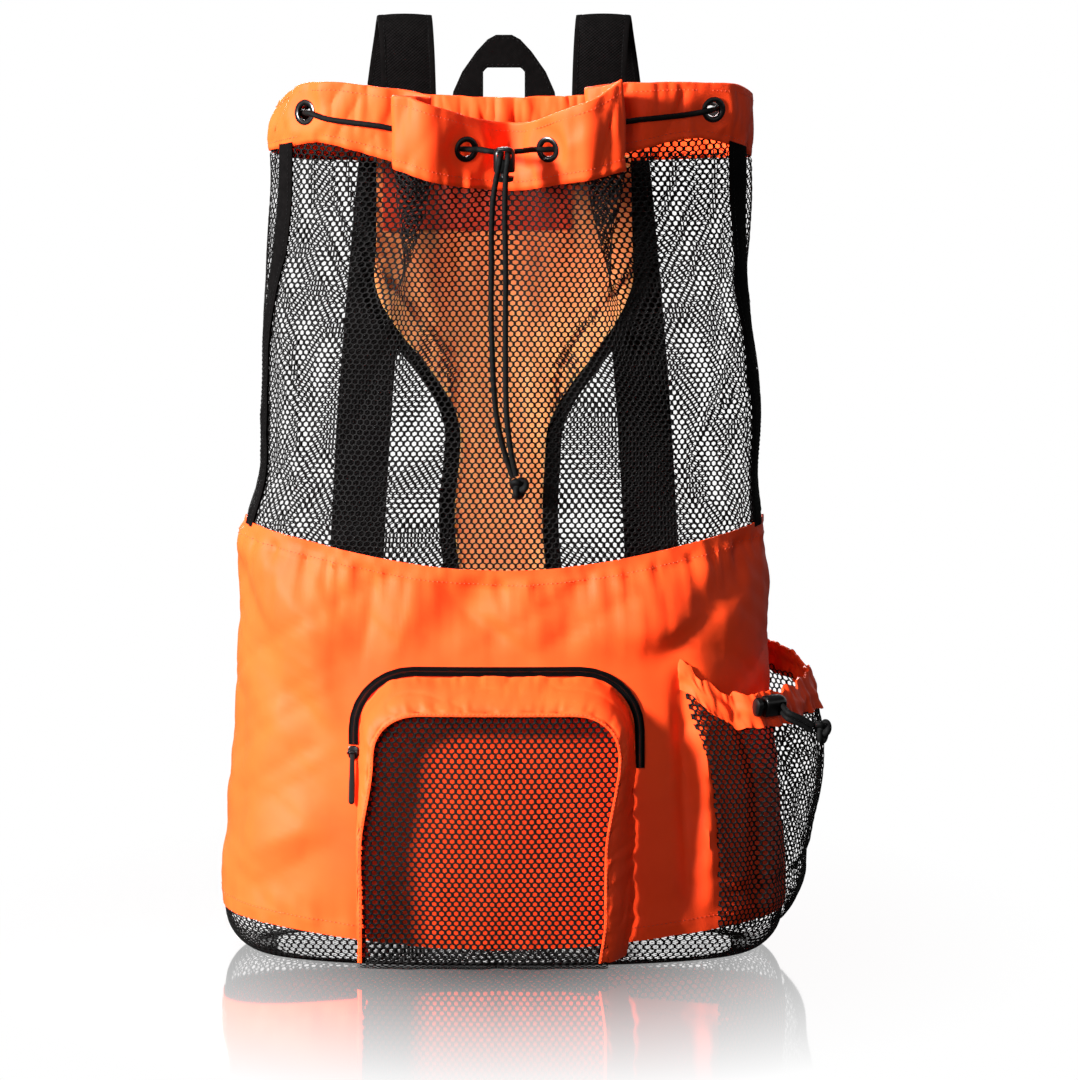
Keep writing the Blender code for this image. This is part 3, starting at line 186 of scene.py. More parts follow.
# The collar's folded line, seen from above, from the middle of the back past the right side. The
# front flap stands proud between two S folds. X is a share of half COLLAR_WIDTH and Y of half
# COLLAR_DEPTH; hem and rim are how far the edges lie above their levels, as shares of COLLAR_HEIGHT.
COLLAR = (
    # x, y, hem, rim
    (0.000, 0.600, -0.30, -0.34),
    (0.350, 0.610, -0.30, -0.30),
    (0.680, 0.540, -0.25, -0.20),
    (0.915, 0.330, -0.16, -0.10),
    (1.018, 0.020, -0.05, -0.12),
    (0.955, -0.260, 0.16, 0.10),
    (0.795, -0.450, 0.36, 0.18),
    (0.600, -0.570, 0.26, 0.22),
    (0.420, -0.625, 0.10, 0.20),
    (0.345, -0.715, 0.02, 0.18),
    (0.420, -0.815, 0.00, 0.24),
    (0.490, -0.915, 0.00, 0.36),
    (0.420, -1.000, -0.06, 0.20),
    (0.240, -0.925, -0.20, -0.11),
    (0.045, -0.745, -0.36, -0.37),
    (-0.110, -0.830, -0.30, -0.26),
    (-0.285, -0.975, -0.16, -0.02),
    (-0.385, -0.990, -0.03, 0.10),
    (-0.445, -0.905, 0.03, 0.11),
    (-0.375, -0.810, 0.02, 0.08),
    (-0.300, -0.715, 0.00, 0.04),
    (-0.375, -0.625, 0.00, 0.09),
    (-0.560, -0.575, 0.15, 0.16),
    (-0.755, -0.470, 0.30, 0.20),
    (-0.895, -0.260, 0.16, 0.08),
    (-0.958, 0.020, 0.04, -0.22),
    (-0.880, 0.300, -0.15, -0.12),
    (-0.650, 0.510, -0.25, -0.16),
    (-0.350, 0.600, -0.30, -0.28),
)
# The rows at the middle of the back, the right side, the middle of the front and the left side
COLLAR_QUARTERS = (0, 4, 14, 25)

# Soft creases in the wall: each runs from one place to another on the wall, sinks by its depth
# (a share of BODY_DEPTH; minus stands proud) and fades over its half width (a share of BODY_WIDTH).
CREASES = (
    # share from, height from, share to, height to, depth, half width
    (0.385, 0.205, 0.300, 0.290, 0.030, 0.030),
    (0.366, 0.200, 0.373, 0.035, 0.040, 0.020),
    (0.405, 0.190, 0.330, 0.250, -0.022, 0.025),
    (0.620, 0.225, 0.655, 0.290, 0.022, 0.040),
    (0.640, 0.170, 0.730, 0.270, 0.020, 0.035),
    (0.520, 0.270, 0.560, 0.215, 0.018, 0.040),
    (0.440, 0.275, 0.455, 0.225, 0.016, 0.030),
    (0.700, 0.060, 0.720, 0.180, 0.014, 0.030),
    (0.100, 0.080, 0.140, 0.280, 0.020, 0.035),
    (0.900, 0.080, 0.870, 0.260, 0.020, 0.035),
    (0.330, 0.330, 0.290, 0.470, 0.022, 0.030),
    (0.660, 0.340, 0.700, 0.500, 0.020, 0.030),
    (0.560, 0.330, 0.590, 0.450, 0.014, 0.035),
    (0.220, 0.350, 0.240, 0.480, 0.018, 0.030),
    (0.790, 0.340, 0.770, 0.470, 0.018, 0.030),
)

# The grommets in the cord's order: the row of the collar's table at which each sits, and its level
# between the collar's hem and rim
GROMMET_ROWS = {
    "front left": (15.25, 0.55),
    "fold left": (21.1, 0.50),
    "side left": (23.5, 0.53),
    "back left": (26.3, 0.62),
    "back right": (2.7, 0.65),
    "side right": (5.65, 0.55),
    "fold right": (7.9, 0.50),
    "front right": (13.3, 0.54),
}
GROMMET_NAMES = tuple(GROMMET_ROWS)
GROMMETS = tuple(GROMMET_ROWS.values())
# The collar row that the cord rounds behind each S fold
FOLD_ROWS = {"front left": 20.0, "fold right": 9.0}

# The drawcord's lock, the steps by which each cord bends away behind it, and the hanging ends
LOCK_PLACE = Vector((0.0005, -0.0945, 0.5705))
LOCK_BEND = (
    (0.0, 0.0003, 0.0),
    (0.0, 0.0018, 0.0),
    (0.0020, 0.0038, 0.0),
    (0.0050, 0.0046, 0.0002),
    (0.0085, 0.0047, 0.0005),
)
TAIL_LEFT = (
    (-0.0024, -0.1032, 0.5730),
    (-0.0030, -0.1044, 0.5695),
    (-0.0044, -0.1040, 0.5620),
    (-0.0070, -0.1034, 0.5460),
    (-0.0084, -0.1010, 0.5000),
    (-0.0077, -0.0985, 0.4300),
    (-0.0045, -0.0965, 0.3880),
    (0.0020, -0.0955, 0.3600),
    (0.0062, -0.0957, 0.3478),
)
TAIL_RIGHT = (
    (0.0030, -0.1032, 0.5730),
    (0.0027, -0.1044, 0.5695),
    (0.0018, -0.1040, 0.5620),
    (0.0010, -0.1036, 0.5460),
    (0.0014, -0.1014, 0.5000),
    (0.0014, -0.0992, 0.4300),
    (0.0024, -0.0995, 0.3880),
    (0.0062, -0.1002, 0.3600),
    (0.0088, -0.1000, 0.3491),
)
KNOT_PLACE = (0.0108, -0.0982, 0.3408)
KNOT_SIZE = (0.0068, 0.0060, 0.0085)

# The side pocket's lock: which way its button and its cord point, and its cord's free end
POCKET_BUTTON_WAY = (-0.85, -0.52, 0.0)
POCKET_CORD_WAY = (0.49, -0.80, -0.35)
POCKET_TAIL = ((0.0100, -0.0125, -0.0050), (0.0190, -0.0125, -0.0090), (0.0270, -0.0110, -0.0140))
POCKET_KNOT = (0.0337, -0.0107, -0.0156)
POCKET_KNOT_SIZE = (0.0062, 0.0060, 0.0095)

# The side pocket's rim, from its back end (0) to its front end (1): how far it dips below the line
# between its ends, as a share of SIDE_POCKET_DIP
SIDE_POCKET_RIM = (
    # part, dip
    (0.00, 0.00),
    (0.20, 0.44),
    (0.45, 0.91),
    (0.65, 0.95),
    (0.80, 0.97),
    (0.87, 0.96),
    (0.93, 0.55),
    (0.97, 0.15),
    (1.00, 0.00),
)

# How far the side pocket stands off the wall between its foot (0) and its rim (1), as a share of
# SIDE_POCKET_BULGE: it widens upward, and its elastic draws the rim in again
SIDE_POCKET_SWELL = (
    # climb, stands off
    (0.00, 0.00),
    (0.06, 0.20),
    (0.12, 0.31),
    (0.24, 0.42),
    (0.37, 0.57),
    (0.49, 0.73),
    (0.62, 0.84),
    (0.75, 0.88),
    (0.88, 0.80),
    (1.00, 0.64),
)

# A shoulder strap's way from its seam behind the collar, over its crest and down to the base.
# Heights are shares of RIM_HEIGHT, stands off is a share of BODY_DEPTH behind the wall, and
# spread runs from STRAP_TOP_SPREAD (0) to STRAP_FOOT_SPREAD (1).
STRAP_ROUTE = (
    # height, stands off, spread
    (0.800, 0.000, 0.00),
    (0.850, 0.000, 0.00),
    (0.920, 0.036, 0.00),
    (1.000, 0.045, 0.02),
    (1.045, 0.070, 0.05),
    (1.063, 0.120, 0.08),
    (1.045, 0.180, 0.12),
    (0.960, 0.225, 0.28),
    (0.800, 0.250, 0.50),
    (0.600, 0.250, 0.72),
    (0.420, 0.225, 0.86),
    (0.250, 0.160, 0.94),
    (0.130, 0.060, 0.98),
    (0.090, 0.004, 1.00),
    (0.060, 0.000, 1.00),
)

# The haul handle's outer outline: X is a share of half HANDLE_WIDTH, height of its rise
HANDLE_OUTLINE = (
    # x, height
    (-1.000, 0.00),
    (-1.000, 0.60),
    (-0.960, 0.69),
    (-0.790, 0.80),
    (-0.520, 0.91),
    (-0.310, 0.975),
    (-0.150, 1.00),
)

LOOP_SAMPLES = 1440
LOOP_LEVELS = 62


def smooth(t):
    """0 below 0, 1 above 1, and an even ease between."""
    t = np.clip(t, 0.0, 1.0)
    return t * t * (3 - 2 * t)


def spline(knots, values, at):
    """A smooth curve through the values at the knots, read at some places."""
    knots, values = np.asarray(knots, float), np.asarray(values, float)
    slopes = np.gradient(values, knots)
    at = np.clip(np.asarray(at, float), knots[0], knots[-1])
    low = np.clip(np.searchsorted(knots, at, side="right") - 1, 0, len(knots) - 2)
    span = knots[low + 1] - knots[low]
    t = (at - knots[low]) / span
    rise = values[low + 1] - values[low]
    start, end = slopes[low] * span, slopes[low + 1] * span
    return values[low] + t * start + t * t * (3 * rise - 2 * start - end) + t**3 * (start + end - 2 * rise)


def ring_spline(knots, values, at, lap=1.0):
    """The same for values that repeat after one lap."""
    knots = list(knots)
    values = list(values)
    near = 4
    longer = [k - lap for k in knots[-near:]] + knots + [k + lap for k in knots[:near]]
    around = values[-near:] + values + values[:near]
    return spline(longer, around, np.mod(at, lap))


def signed_power(value, power):
    """The power of a value's size, with the value's sign."""
    return np.sign(value) * np.abs(value) ** power


def circle(count):
    """Even angles of one full turn."""
    return np.linspace(0.0, 2 * math.pi, count + 1)[:-1]


def unit(ways):
    """Directions of length 1."""
    return ways / np.maximum(np.linalg.norm(ways, axis=-1, keepdims=True), 1e-12)


def lengths(points):
    """Distance along a line of points, from its start."""
    steps = np.linalg.norm(np.diff(points, axis=0), axis=1)
    return np.concatenate([[0.0], np.cumsum(steps)])


def read_line(line, run, at):
    """The columns of a line of points, read at some distances along it."""
    return np.stack([np.interp(at, run, column) for column in line.T], axis=1)


def evened(points, samples):
    """A closed line again, as points at even shares of its length."""
    closed = np.vstack([points, points[:1]])
    along = lengths(closed[:, :2])
    return read_line(closed, along, np.linspace(0.0, along[-1], samples + 1)[:-1])


def section_loop(height):
    """The plain form's outline at one height."""
    columns = np.array(SECTIONS).T
    half, front, back, lean, square = (
        float(spline(columns[0] * RIM_HEIGHT, column, height)) for column in columns[1:]
    )
    turn = circle(1440)
    x = signed_power(np.sin(turn), 2 / square) * half * BODY_WIDTH / 2 + lean * BODY_WIDTH
    depth = np.where(np.cos(turn) > 0, back, front) * BODY_DEPTH
    y = signed_power(np.cos(turn), 2 / square) * depth
    return evened(np.stack([x, y], axis=1), LOOP_SAMPLES)


def collar_line():
    """The collar's folded line: x, y, hem height and rim height at even shares of the wall, and the
    share at which each row of its table lies. Each quarter of the wall has its own even spacing."""
    rows = np.array(COLLAR)
    plan = rows[:, :2] * (COLLAR_WIDTH / 2, COLLAR_DEPTH / 2)
    knots = lengths(np.vstack([plan, plan[:1]]))
    lap = knots[-1]
    hem_level = HEM_LEVEL + rows[:, 2] * COLLAR_HEIGHT
    rim_level = RIM_HEIGHT + rows[:, 3] * COLLAR_HEIGHT
    columns = (plan[:, 0], plan[:, 1], hem_level, rim_level)
    fine = np.linspace(0.0, lap, 4 * LOOP_SAMPLES + 1)
    line = np.stack([ring_spline(knots[:-1], column, fine, lap) for column in columns], axis=1)
    along = lengths(line[:, :2])
    row_along = np.interp(knots, fine, along)
    corners = [row_along[row] for row in COLLAR_QUARTERS] + [along[-1]]
    quarters = np.linspace(0.0, 1.0, len(corners))
    at = np.interp(np.linspace(0.0, 1.0, LOOP_SAMPLES + 1)[:-1], quarters, corners)
    return read_line(line, along, at), np.interp(row_along[:-1], corners, quarters)


LEVELS = np.linspace(0.0, SECTIONS[-1][0] * RIM_HEIGHT, LOOP_LEVELS)
SECTION_LOOPS = np.array([section_loop(level) for level in LEVELS])
COLLAR_LOOP, COLLAR_SHARES = collar_line()
GIRTH = float(np.linalg.norm(np.diff(SECTION_LOOPS[LOOP_LEVELS // 2], axis=0), axis=1).sum())


def on_loop(loop, share):
    """A column of a closed line's samples, read at shares of its length."""
    at = np.mod(share, 1.0) * len(loop)
    low = at.astype(int) % len(loop)
    part = (at - np.floor(at))[..., None]
    return loop[low] * (1 - part) + loop[(low + 1) % len(loop)] * part


def hem(share):
    """Height of the seam between net and collar."""
    return on_loop(COLLAR_LOOP[:, 2:3], np.asarray(share, float))[..., 0]


def rim(share):
    """Height of the collar's top edge."""
    return on_loop(COLLAR_LOOP[:, 3:4], np.asarray(share, float))[..., 0]


def collar_height(share, level):
    """Height between the collar's hem (0) and its rim (1)."""
    return hem(share) + (rim(share) - hem(share)) * level


def front_bump(share):
    """1 at the middle of the front, 0 from the sides on round the back."""
    share = np.mod(share, 1.0)
    return np.where(np.abs(share - 0.5) < 0.25, np.cos((share - 0.5) * 2 * math.pi) ** 2, 0.0)


def back_bump(share):
    """1 across the flat of the back, 0 from the sides on round the front."""
    from_back = np.abs(np.mod(np.asarray(share, float) + 0.5, 1.0) - 0.5)
    return smooth((0.25 - from_back) / 0.09)


def waist(share):
    """Height of the lower body's top hem."""
    return WAIST_HEIGHT - WAIST_SAG * front_bump(share) - WAIST_BACK_DROP * back_bump(share)


def base_hem(share):
    """Height of the seam between the net base and the lower body."""
    return BASE_HEM_HEIGHT - BASE_HEM_SAG * front_bump(share)


def base_round(share):
    """Radius by which the net base turns up into the wall: small in front, larger at the ends."""
    return BASE_CORNER - (BASE_CORNER - BASE_ROUND) * front_bump(share)


def plain_wall(share, height):
    """X and Y of the wall without creases."""
    share, height = np.broadcast_arrays(np.asarray(share, float), np.asarray(height, float))
    level = np.clip(height / LEVELS[-1], 0, 1) * (LOOP_LEVELS - 1)
    low = np.minimum(level.astype(int), LOOP_LEVELS - 2)
    part = (level - low)[..., None]
    at = np.mod(share, 1.0) * LOOP_SAMPLES
    first = at.astype(int) % LOOP_SAMPLES
    next_one = (first + 1) % LOOP_SAMPLES
    between = (at - np.floor(at))[..., None]
    below = SECTION_LOOPS[low, first] * (1 - between) + SECTION_LOOPS[low, next_one] * between
    above = SECTION_LOOPS[low + 1, first] * (1 - between) + SECTION_LOOPS[low + 1, next_one] * between
    body = below * (1 - part) + above * part
    collar = on_loop(COLLAR_LOOP[:, :2], share)
    folded = smooth((height - hem(share) + FOLD_REACH) / FOLD_REACH)[..., None]
    left_end = smooth(1 - np.abs(np.mod(share, 1.0) - 0.75) / TAPER_REACH)
    drawn_in = COLLAR_TAPER * smooth((height - hem(share)) / COLLAR_HEIGHT) * left_end
    return body * (1 - folded) + collar * folded + drawn_in[..., None] * (1.0, 0.0)


def pocket_cover(share, height):
    """1 where the front pocket covers the wall, fading to 0 round it."""
    across = np.abs(share - 0.5) * GIRTH - POCKET_WIDTH / 2
    above = height - POCKET_TOP
    return 1 - smooth((np.maximum(across, above) - 0.004) / 0.03)


def creases(share, height):
    """How far the wall sinks at its soft creases."""
    depth = np.zeros(np.broadcast(share, height).shape)
    for from_share, from_height, to_share, to_height, sinks, half_width in CREASES:
        run = np.array([(to_share - from_share) * GIRTH, to_height - from_height])
        x = (np.mod(share, 1.0) - from_share) * GIRTH
        y = height - from_height
        along = np.clip((x * run[0] + y * run[1]) / (run @ run), 0, 1)
        away = np.hypot(x - along * run[0], y - along * run[1])
        depth = depth + sinks * BODY_DEPTH * np.exp(-((away / (half_width * BODY_WIDTH)) ** 2))
    edges = (
        smooth((height - base_hem(share)) / 0.03)
        * smooth(np.abs(height - waist(share)) / 0.02 + 0.25)
        * smooth((hem(share) - height) / 0.05)
    )
    return depth * edges * (1 - pocket_cover(share, height))


def wall(share, height, out=0.0):
    """Points of the wall, moved out of it by a distance. The last axis is x, y, z."""
    share, height = np.broadcast_arrays(np.asarray(share, float), np.asarray(height, float))
    step = 0.004
    place = plain_wall(share, height)
    run = plain_wall(share + step, height) - plain_wall(share - step, height)
    run = unit(run)
    outward = np.stack([-run[..., 1], run[..., 0]], axis=-1)
    place = place + outward * np.asarray(out - creases(share, height))[..., None]
    return np.concatenate([place, height[..., None]], axis=-1)


def frame_at(share, height):
    """A place on the wall with its outward and its along direction, as vectors."""
    step = 0.003
    place = Vector(wall(share, height))
    along = Vector(wall(share + step, height) - wall(share - step, height)).normalized()
    up = Vector(wall(share, height + step) - wall(share, height - step)).normalized()
    outward = up.cross(along)
    return place, outward.normalized(), along


def front_share(x, height):
    """The share of the wall's front at which it has this X at this height."""
    shares = np.linspace(0.27, 0.73, 600)
    return float(np.interp(-x, -plain_wall(shares, height)[:, 0], shares))


def back_share(x, height):
    """The share of the wall's back at which it has this X; minus is left of the middle."""
    shares = np.linspace(-0.22, 0.22, 600)
    return float(np.interp(x, plain_wall(shares, height)[:, 0], shares))


def panel_half(height):
    """Half the width of the back panel at a height: narrow below, flaring to the yoke."""
    flare = smooth((height - PANEL_FLARE_LOW) / (PANEL_FLARE_HIGH - PANEL_FLARE_LOW))
    return PANEL_NECK / 2 + (PANEL_YOKE - PANEL_NECK) / 2 * float(flare)


def panel_line(side, extra):
    """The share, at each height, of a line beside the back panel: side 1 is the right."""
    lap = 0.0 if side > 0 else 1.0
    return lambda height: back_share(side * (panel_half(height) + extra), height) + lap


def seam_line(side, extra):
    """The share of a line beside the side seam, by so much further back."""
    return lambda height: 0.5 - side * (SIDE_SEAM_SHARE + extra / GIRTH)


def grommet_frames():
    """Share, height, place, outward and along directions of each grommet."""
    frames = []
    for row, level in GROMMETS:
        share = float(np.interp(row, np.arange(len(COLLAR_SHARES)), COLLAR_SHARES))
        height = float(collar_height(share, level))
        frames.append((share, height, *frame_at(share, height)))
    return frames


def facing(place, outward):
    """The matrix of a place whose Z points outward."""
    return Matrix.Translation(place) @ outward.to_track_quat("Z", "Y").to_matrix().to_4x4()


def clamped(points, frames):
    """Collar points pressed flat where the grommets clamp the cloth."""
    points = np.array(points)
    for _, _, place, outward, _ in frames:
        offset = points - np.array(place)
        lift = offset @ np.array(outward)
        away = np.linalg.norm(offset, axis=-1)
        held = 1 - smooth((away - CLAMP_REACH * GROMMET_RADIUS) / GROMMET_RADIUS)
        points = points - (held * lift)[..., None] * np.array(outward)
    return points


def through_grommet(frame, turn):
    """Cord points through a grommet along the wall: turn 1 comes out of the bag, -1 goes in."""
    _, _, place, outward, along = frame
    reach = GROMMET_RADIUS * 0.75
    lift = GROMMET_THICK / 2 + CORD_DIAMETER / 2 + 2 * CORD_GAP
    return [
        place + along * reach * part + outward * turn * lift * math.sin(part * math.pi / 2)
        for part in (-1.0, -0.5, 0.0, 0.5, 1.0)
    ]


def beside_collar(start, end, side):
    """Cord points between two grommets on the outside (1) or the inside (-1) of the collar."""
    lift = side * (GROMMET_THICK / 2 + CORD_DIAMETER / 2 + 2 * CORD_GAP)
    gap = (end[0] - start[0]) % 1.0
    steps = max(2, round(gap * GIRTH / CORD_STEP))
    points = []
    for part in np.linspace(0.0, 1.0, steps + 1)[1:-1]:
        share = start[0] + gap * part
        height = start[1] + (end[1] - start[1]) * part
        if abs(part - 0.5) < 0.5 - CORD_REACH * GROMMET_RADIUS / (gap * GIRTH):
            points.append(Vector(wall(share, height, lift)))
    return points


def behind_fold(row, height):
    """The cord points that round the inner turn of an S fold."""
    rows = row + np.array([-0.6, 0.0, 0.6])
    shares = np.interp(rows, np.arange(len(COLLAR_SHARES)), COLLAR_SHARES)
    return [Vector(place) for place in wall(shares, height, -1.4 * CORD_DIAMETER)]


def lock_matrix(place, button, exit_way):
    """A cord lock's place, from the ways its button and its cord's free side point."""
    down, out = Vector(button).normalized(), Vector(exit_way).normalized()
    turn = Matrix((out.cross(down), -out, -down)).transposed().to_4x4()
    return Matrix.Translation(place) @ turn


def lock_window(matrix):
    """Where the two cords run through a cord lock: back and front points of each."""
    pairs = []
    for side in (-1, 1):
        x = side * (CORD_DIAMETER + CORD_GAP) / 2
        ends = [(x, way * (LOCK_DEPTH / 2 + CORD_GAP), LOCK_WINDOW_RISE) for way in (1, -1)]
        pairs.append([matrix @ Vector(end) for end in ends])
    return pairs


def drawcord_route(frames, matrix):
    """The held part of the drawcord: from behind the cord lock's left hole out to the front left
    grommet, round the collar by the left side and the back, and home to its right hole."""
    by_name = dict(zip(GROMMET_NAMES, frames))
    left, right = (ends[0] for ends in lock_window(matrix))
    route = [left + Vector((-x, y, z)) for x, y, z in LOCK_BEND]
    way = -1
    for index, name in enumerate(GROMMET_NAMES):
        route += through_grommet(by_name[name], way)
        if name in FOLD_ROWS:
            route += behind_fold(FOLD_ROWS[name], by_name[name][1])
        elif index + 1 < len(GROMMET_NAMES):
            route += beside_collar(by_name[name], by_name[GROMMET_NAMES[index + 1]], way)
        way = -way
    route += [right + Vector(step) for step in LOCK_BEND[::-1]]
    return route


def arch(half, top, corner, foot, arc_steps):
    """An arched outline: (x, height) points up the left leg, over the top and down the right."""
    turn = np.linspace(0.0, math.pi / 2, arc_steps)
    arc_x = -half + corner * (1 - np.cos(turn))
    arc_z = top - corner * (1 - np.sin(turn))
    leg = np.linspace(foot, top - corner, 6)[:-1]
    left = [(-half, z) for z in leg] + list(zip(arc_x, arc_z))
    middle = [(x, top) for x in np.linspace(-half + corner, half - corner, 6)[1:-1]]
    return np.array(left + middle + [(-x, z) for x, z in left[::-1]])


def pocket_outlines():
    """The front pocket's outline on the wall and the smaller one round its net."""
    half = POCKET_WIDTH / 2
    foot = POCKET_FOOT + POCKET_TUCK + SEAM_GAP
    on_wall = arch(half, POCKET_TOP, POCKET_CORNER, foot, 6)
    on_net = arch(half - GUSSET_INSET, POCKET_TOP - GUSSET_DROP, POCKET_CORNER * NET_CORNER, foot, 6)
    return on_wall, on_net


def slider_matrix():
    """The zip slider's place below the zip's left end: X along the wall, -Y out of it."""
    x = -POCKET_WIDTH / 2 - LAY_GAP - ZIP_WIDTH / 2
    height = ZIP_START_HEIGHT - SLIDER_LENGTH / 2 - SEAM_GAP
    place, outward, along = frame_at(front_share(x - POCKET_OFF_CENTRE, height), height)
    across = -along
    up = outward.cross(across)
    turn = Matrix((across, -outward, up)).transposed().to_4x4()
    return Matrix.Translation(place + outward * (LAY_GAP + SLIDER_THICK / 2)) @ turn


def side_rim(part):
    """Height of the side pocket's rim, from its back end (0) to its front end (1)."""
    ends = SIDE_POCKET_BACK_RIM + (SIDE_POCKET_FRONT_RIM - SIDE_POCKET_BACK_RIM) * part
    parts, dips = np.array(SIDE_POCKET_RIM).T
    return ends - SIDE_POCKET_DIP * spline(parts, dips, part)


def side_stand(part, climb):
    """How far the side pocket stands off the wall at a part of its way round and of its height."""
    climbs, stands = np.array(SIDE_POCKET_SWELL).T
    return SIDE_POCKET_BULGE * np.sin(np.pi * part) ** 0.7 * spline(climbs, stands, climb)


def side_share(part, height):
    """The wall's share at a part of the side pocket, whose front seam leans forward towards its top."""
    front = SIDE_POCKET_FRONT + SIDE_POCKET_LEAN * smooth((height - SIDE_LEAN_LOW) / SIDE_LEAN_RISE)
    return SIDE_POCKET_BACK + (front - SIDE_POCKET_BACK) * part


def pocket_lock_matrix():
    """The side pocket's cord lock stands just off the hem, its cord leaving to the right."""
    part = np.array(POCKET_LOCK_PART)
    place = Vector(side_place(part, side_rim(part) - SIDE_POCKET_BAND / 4))
    out = Vector(POCKET_CORD_WAY).normalized()
    stand = LOCK_DEPTH / 2 + POCKET_CORD_START + 2 * CORD_GAP
    return lock_matrix(place + out * stand, POCKET_BUTTON_WAY, out)


def spline_line(points, knots, at):
    """A smooth curve through a line of points, read at some distances along it."""
    return np.stack([spline(knots, column, at) for column in points.T], axis=1)


def smooth_line(points):
    """A smooth curve through a few points: the points and one more between each two."""
    points = np.array([list(point) for point in points], float)
    knots = lengths(points)
    at = np.sort(np.concatenate([knots, (knots[1:] + knots[:-1]) / 2]))
    return spline_line(points, knots, at)


def linked(name, data):
    """An object of this name in the scene."""
    obj = bpy.data.objects.new(name, data)
    bpy.context.scene.collection.objects.link(obj)
    return obj


def shape_object(name, shape):
    """An object from a finished bmesh."""
    mesh = bpy.data.meshes.new(name)
    shape.to_mesh(mesh)
    shape.free()
    return linked(name, mesh)


# Camera, floor and light
IMAGE_WIDTH = 1078
METRES_A_PIXEL = 0.0007
ELEVATION = math.radians(10.0)
ROOM_LIGHT = 0.12
LAMPS = (
    # name, place, size, power
    ("key", (-2.85, -1.85, 1.6), 0.6, 740.0),
    ("front", (-0.7, -3.2, 1.2), 0.9, 24.0),
    ("top", (-0.6, 0.2, 2.6), 0.9, 40.0),
    ("behind", (-0.5, 2.4, 1.2), 1.2, 95.0),
)
FLOOR_COLOUR = (0.92, 0.88, 0.88)
FLOOR_WHITE = (0.12, 1.0)
FLOOR_FADE = (0.10, 0.53)
FLOOR_STRETCH = (1.35, 1.0, 0.0)
UNDER_FADE = (0.078, 0.094)
UNDER_STRETCH = (0.5, 1.0, 0.0)
SIDES_STRETCH = (1.0, 0.0, 0.0)
UNDER_SIDES = (0.085, 0.100)
FLOOR_SIZE = 6.0
FLOOR_LEVEL = -0.0002
BACKDROP_AWAY = 16.0
BACKDROP_LEVELS = (-0.5, 8.5)
CAMERA_AWAY = 14.0
AIM = Vector((0.0245, 0.0, 0.2865))


def studio():
    """The camera at the photograph's angle, a pale glossy floor and soft light from the left. The
    floor shines white under the bag and further off, and mirrors the bag between."""
    scene = bpy.context.scene
    lens = bpy.data.cameras.new("camera")
    lens.sensor_width = 36.0
    lens.lens = lens.sensor_width * CAMERA_AWAY / (IMAGE_WIDTH * METRES_A_PIXEL)
    lens.clip_end = 100.0
    camera = linked("camera", lens)
    camera.location = AIM + Vector((0, -math.cos(ELEVATION), math.sin(ELEVATION))) * CAMERA_AWAY
    camera.rotation_euler = (math.pi / 2 - ELEVATION, 0.0, 0.0)
    scene.camera = camera

    world = bpy.data.worlds.new("studio")
    scene.world = world
    world.use_nodes = True
    room = world.node_tree.nodes["Background"]
    room.inputs["Color"].default_value = (0.96, 0.98, 1.0, 1.0)
    room.inputs["Strength"].default_value = ROOM_LIGHT

    for name, place, size, power in LAMPS:
        lamp = bpy.data.lights.new(name, "AREA")
        lamp.size = size
        lamp.energy = power
        obj = linked(name, lamp)
        obj.location = place
        obj.rotation_euler = (AIM - Vector(place)).to_track_quat("-Z", "Y").to_euler()
    scene.view_settings.view_transform = "Standard"

    mirror = shaded("floor", FLOOR_COLOUR, 0.05, Metallic=1.0)
    place = node(mirror, "ShaderNodeTexCoord").outputs["Object"]
    fades = []
    for stretch, reach, ends in (
        (FLOOR_STRETCH, FLOOR_FADE, FLOOR_WHITE),
        (UNDER_STRETCH, UNDER_FADE, (1, 0)),
        (SIDES_STRETCH, UNDER_SIDES, (0, 1)),
    ):
        wider = node(mirror, "ShaderNodeVectorMath", place, operation="MULTIPLY")
        wider.inputs[1].default_value = stretch
        away = node(mirror, "ShaderNodeVectorMath", wider.outputs["Vector"], operation="LENGTH")
        fade = node(mirror, "ShaderNodeMapRange", away.outputs["Value"], From_Min=reach[0],
                    From_Max=reach[1], To_Min=ends[0], To_Max=ends[1])
        fades.append(fade.outputs["Result"])
    beside = node(mirror, "ShaderNodeMath", fades[1], fades[2], operation="MULTIPLY")
    larger = node(mirror, "ShaderNodeMath", beside.outputs[0], fades[0], operation="MAXIMUM")
    white = node(mirror, "ShaderNodeEmission")
    mix = node(mirror, "ShaderNodeMixShader", larger.outputs[0], principled(mirror).outputs[0],
               white.outputs[0])
    mirror.node_tree.links.new(mix.outputs[0], mirror.node_tree.nodes["Material Output"].inputs[0])
    sheet = shaded("backdrop", (0.0, 0.0, 0.0), 1.0, Emission_Color=(1.0, 1.0, 1.0, 1.0),
                   Emission_Strength=1.0)
    low, high = BACKDROP_LEVELS
    plane, ring = bmesh.new(), bmesh.new()
    bmesh.ops.create_grid(plane, x_segments=8, y_segments=8, size=FLOOR_SIZE)
    bmesh.ops.create_cone(ring, cap_ends=False, segments=64, radius1=BACKDROP_AWAY,
                          radius2=BACKDROP_AWAY, depth=high - low)
    for name, shape, level, finish in (
        ("floor", plane, FLOOR_LEVEL, mirror),
        ("backdrop", ring, (low + high) / 2, sheet),
    ):
        obj = shape_object(name, shape)
        obj.data.materials.append(finish)
        obj.location = (0.0, 0.0, level)
        obj.visible_diffuse = False
        obj.visible_glossy = name == "backdrop"


# Materials. Lengths in their nodes are metres along the cloth.
def principled(made):
    """A material's Principled shader."""
    return made.node_tree.nodes["Principled BSDF"]


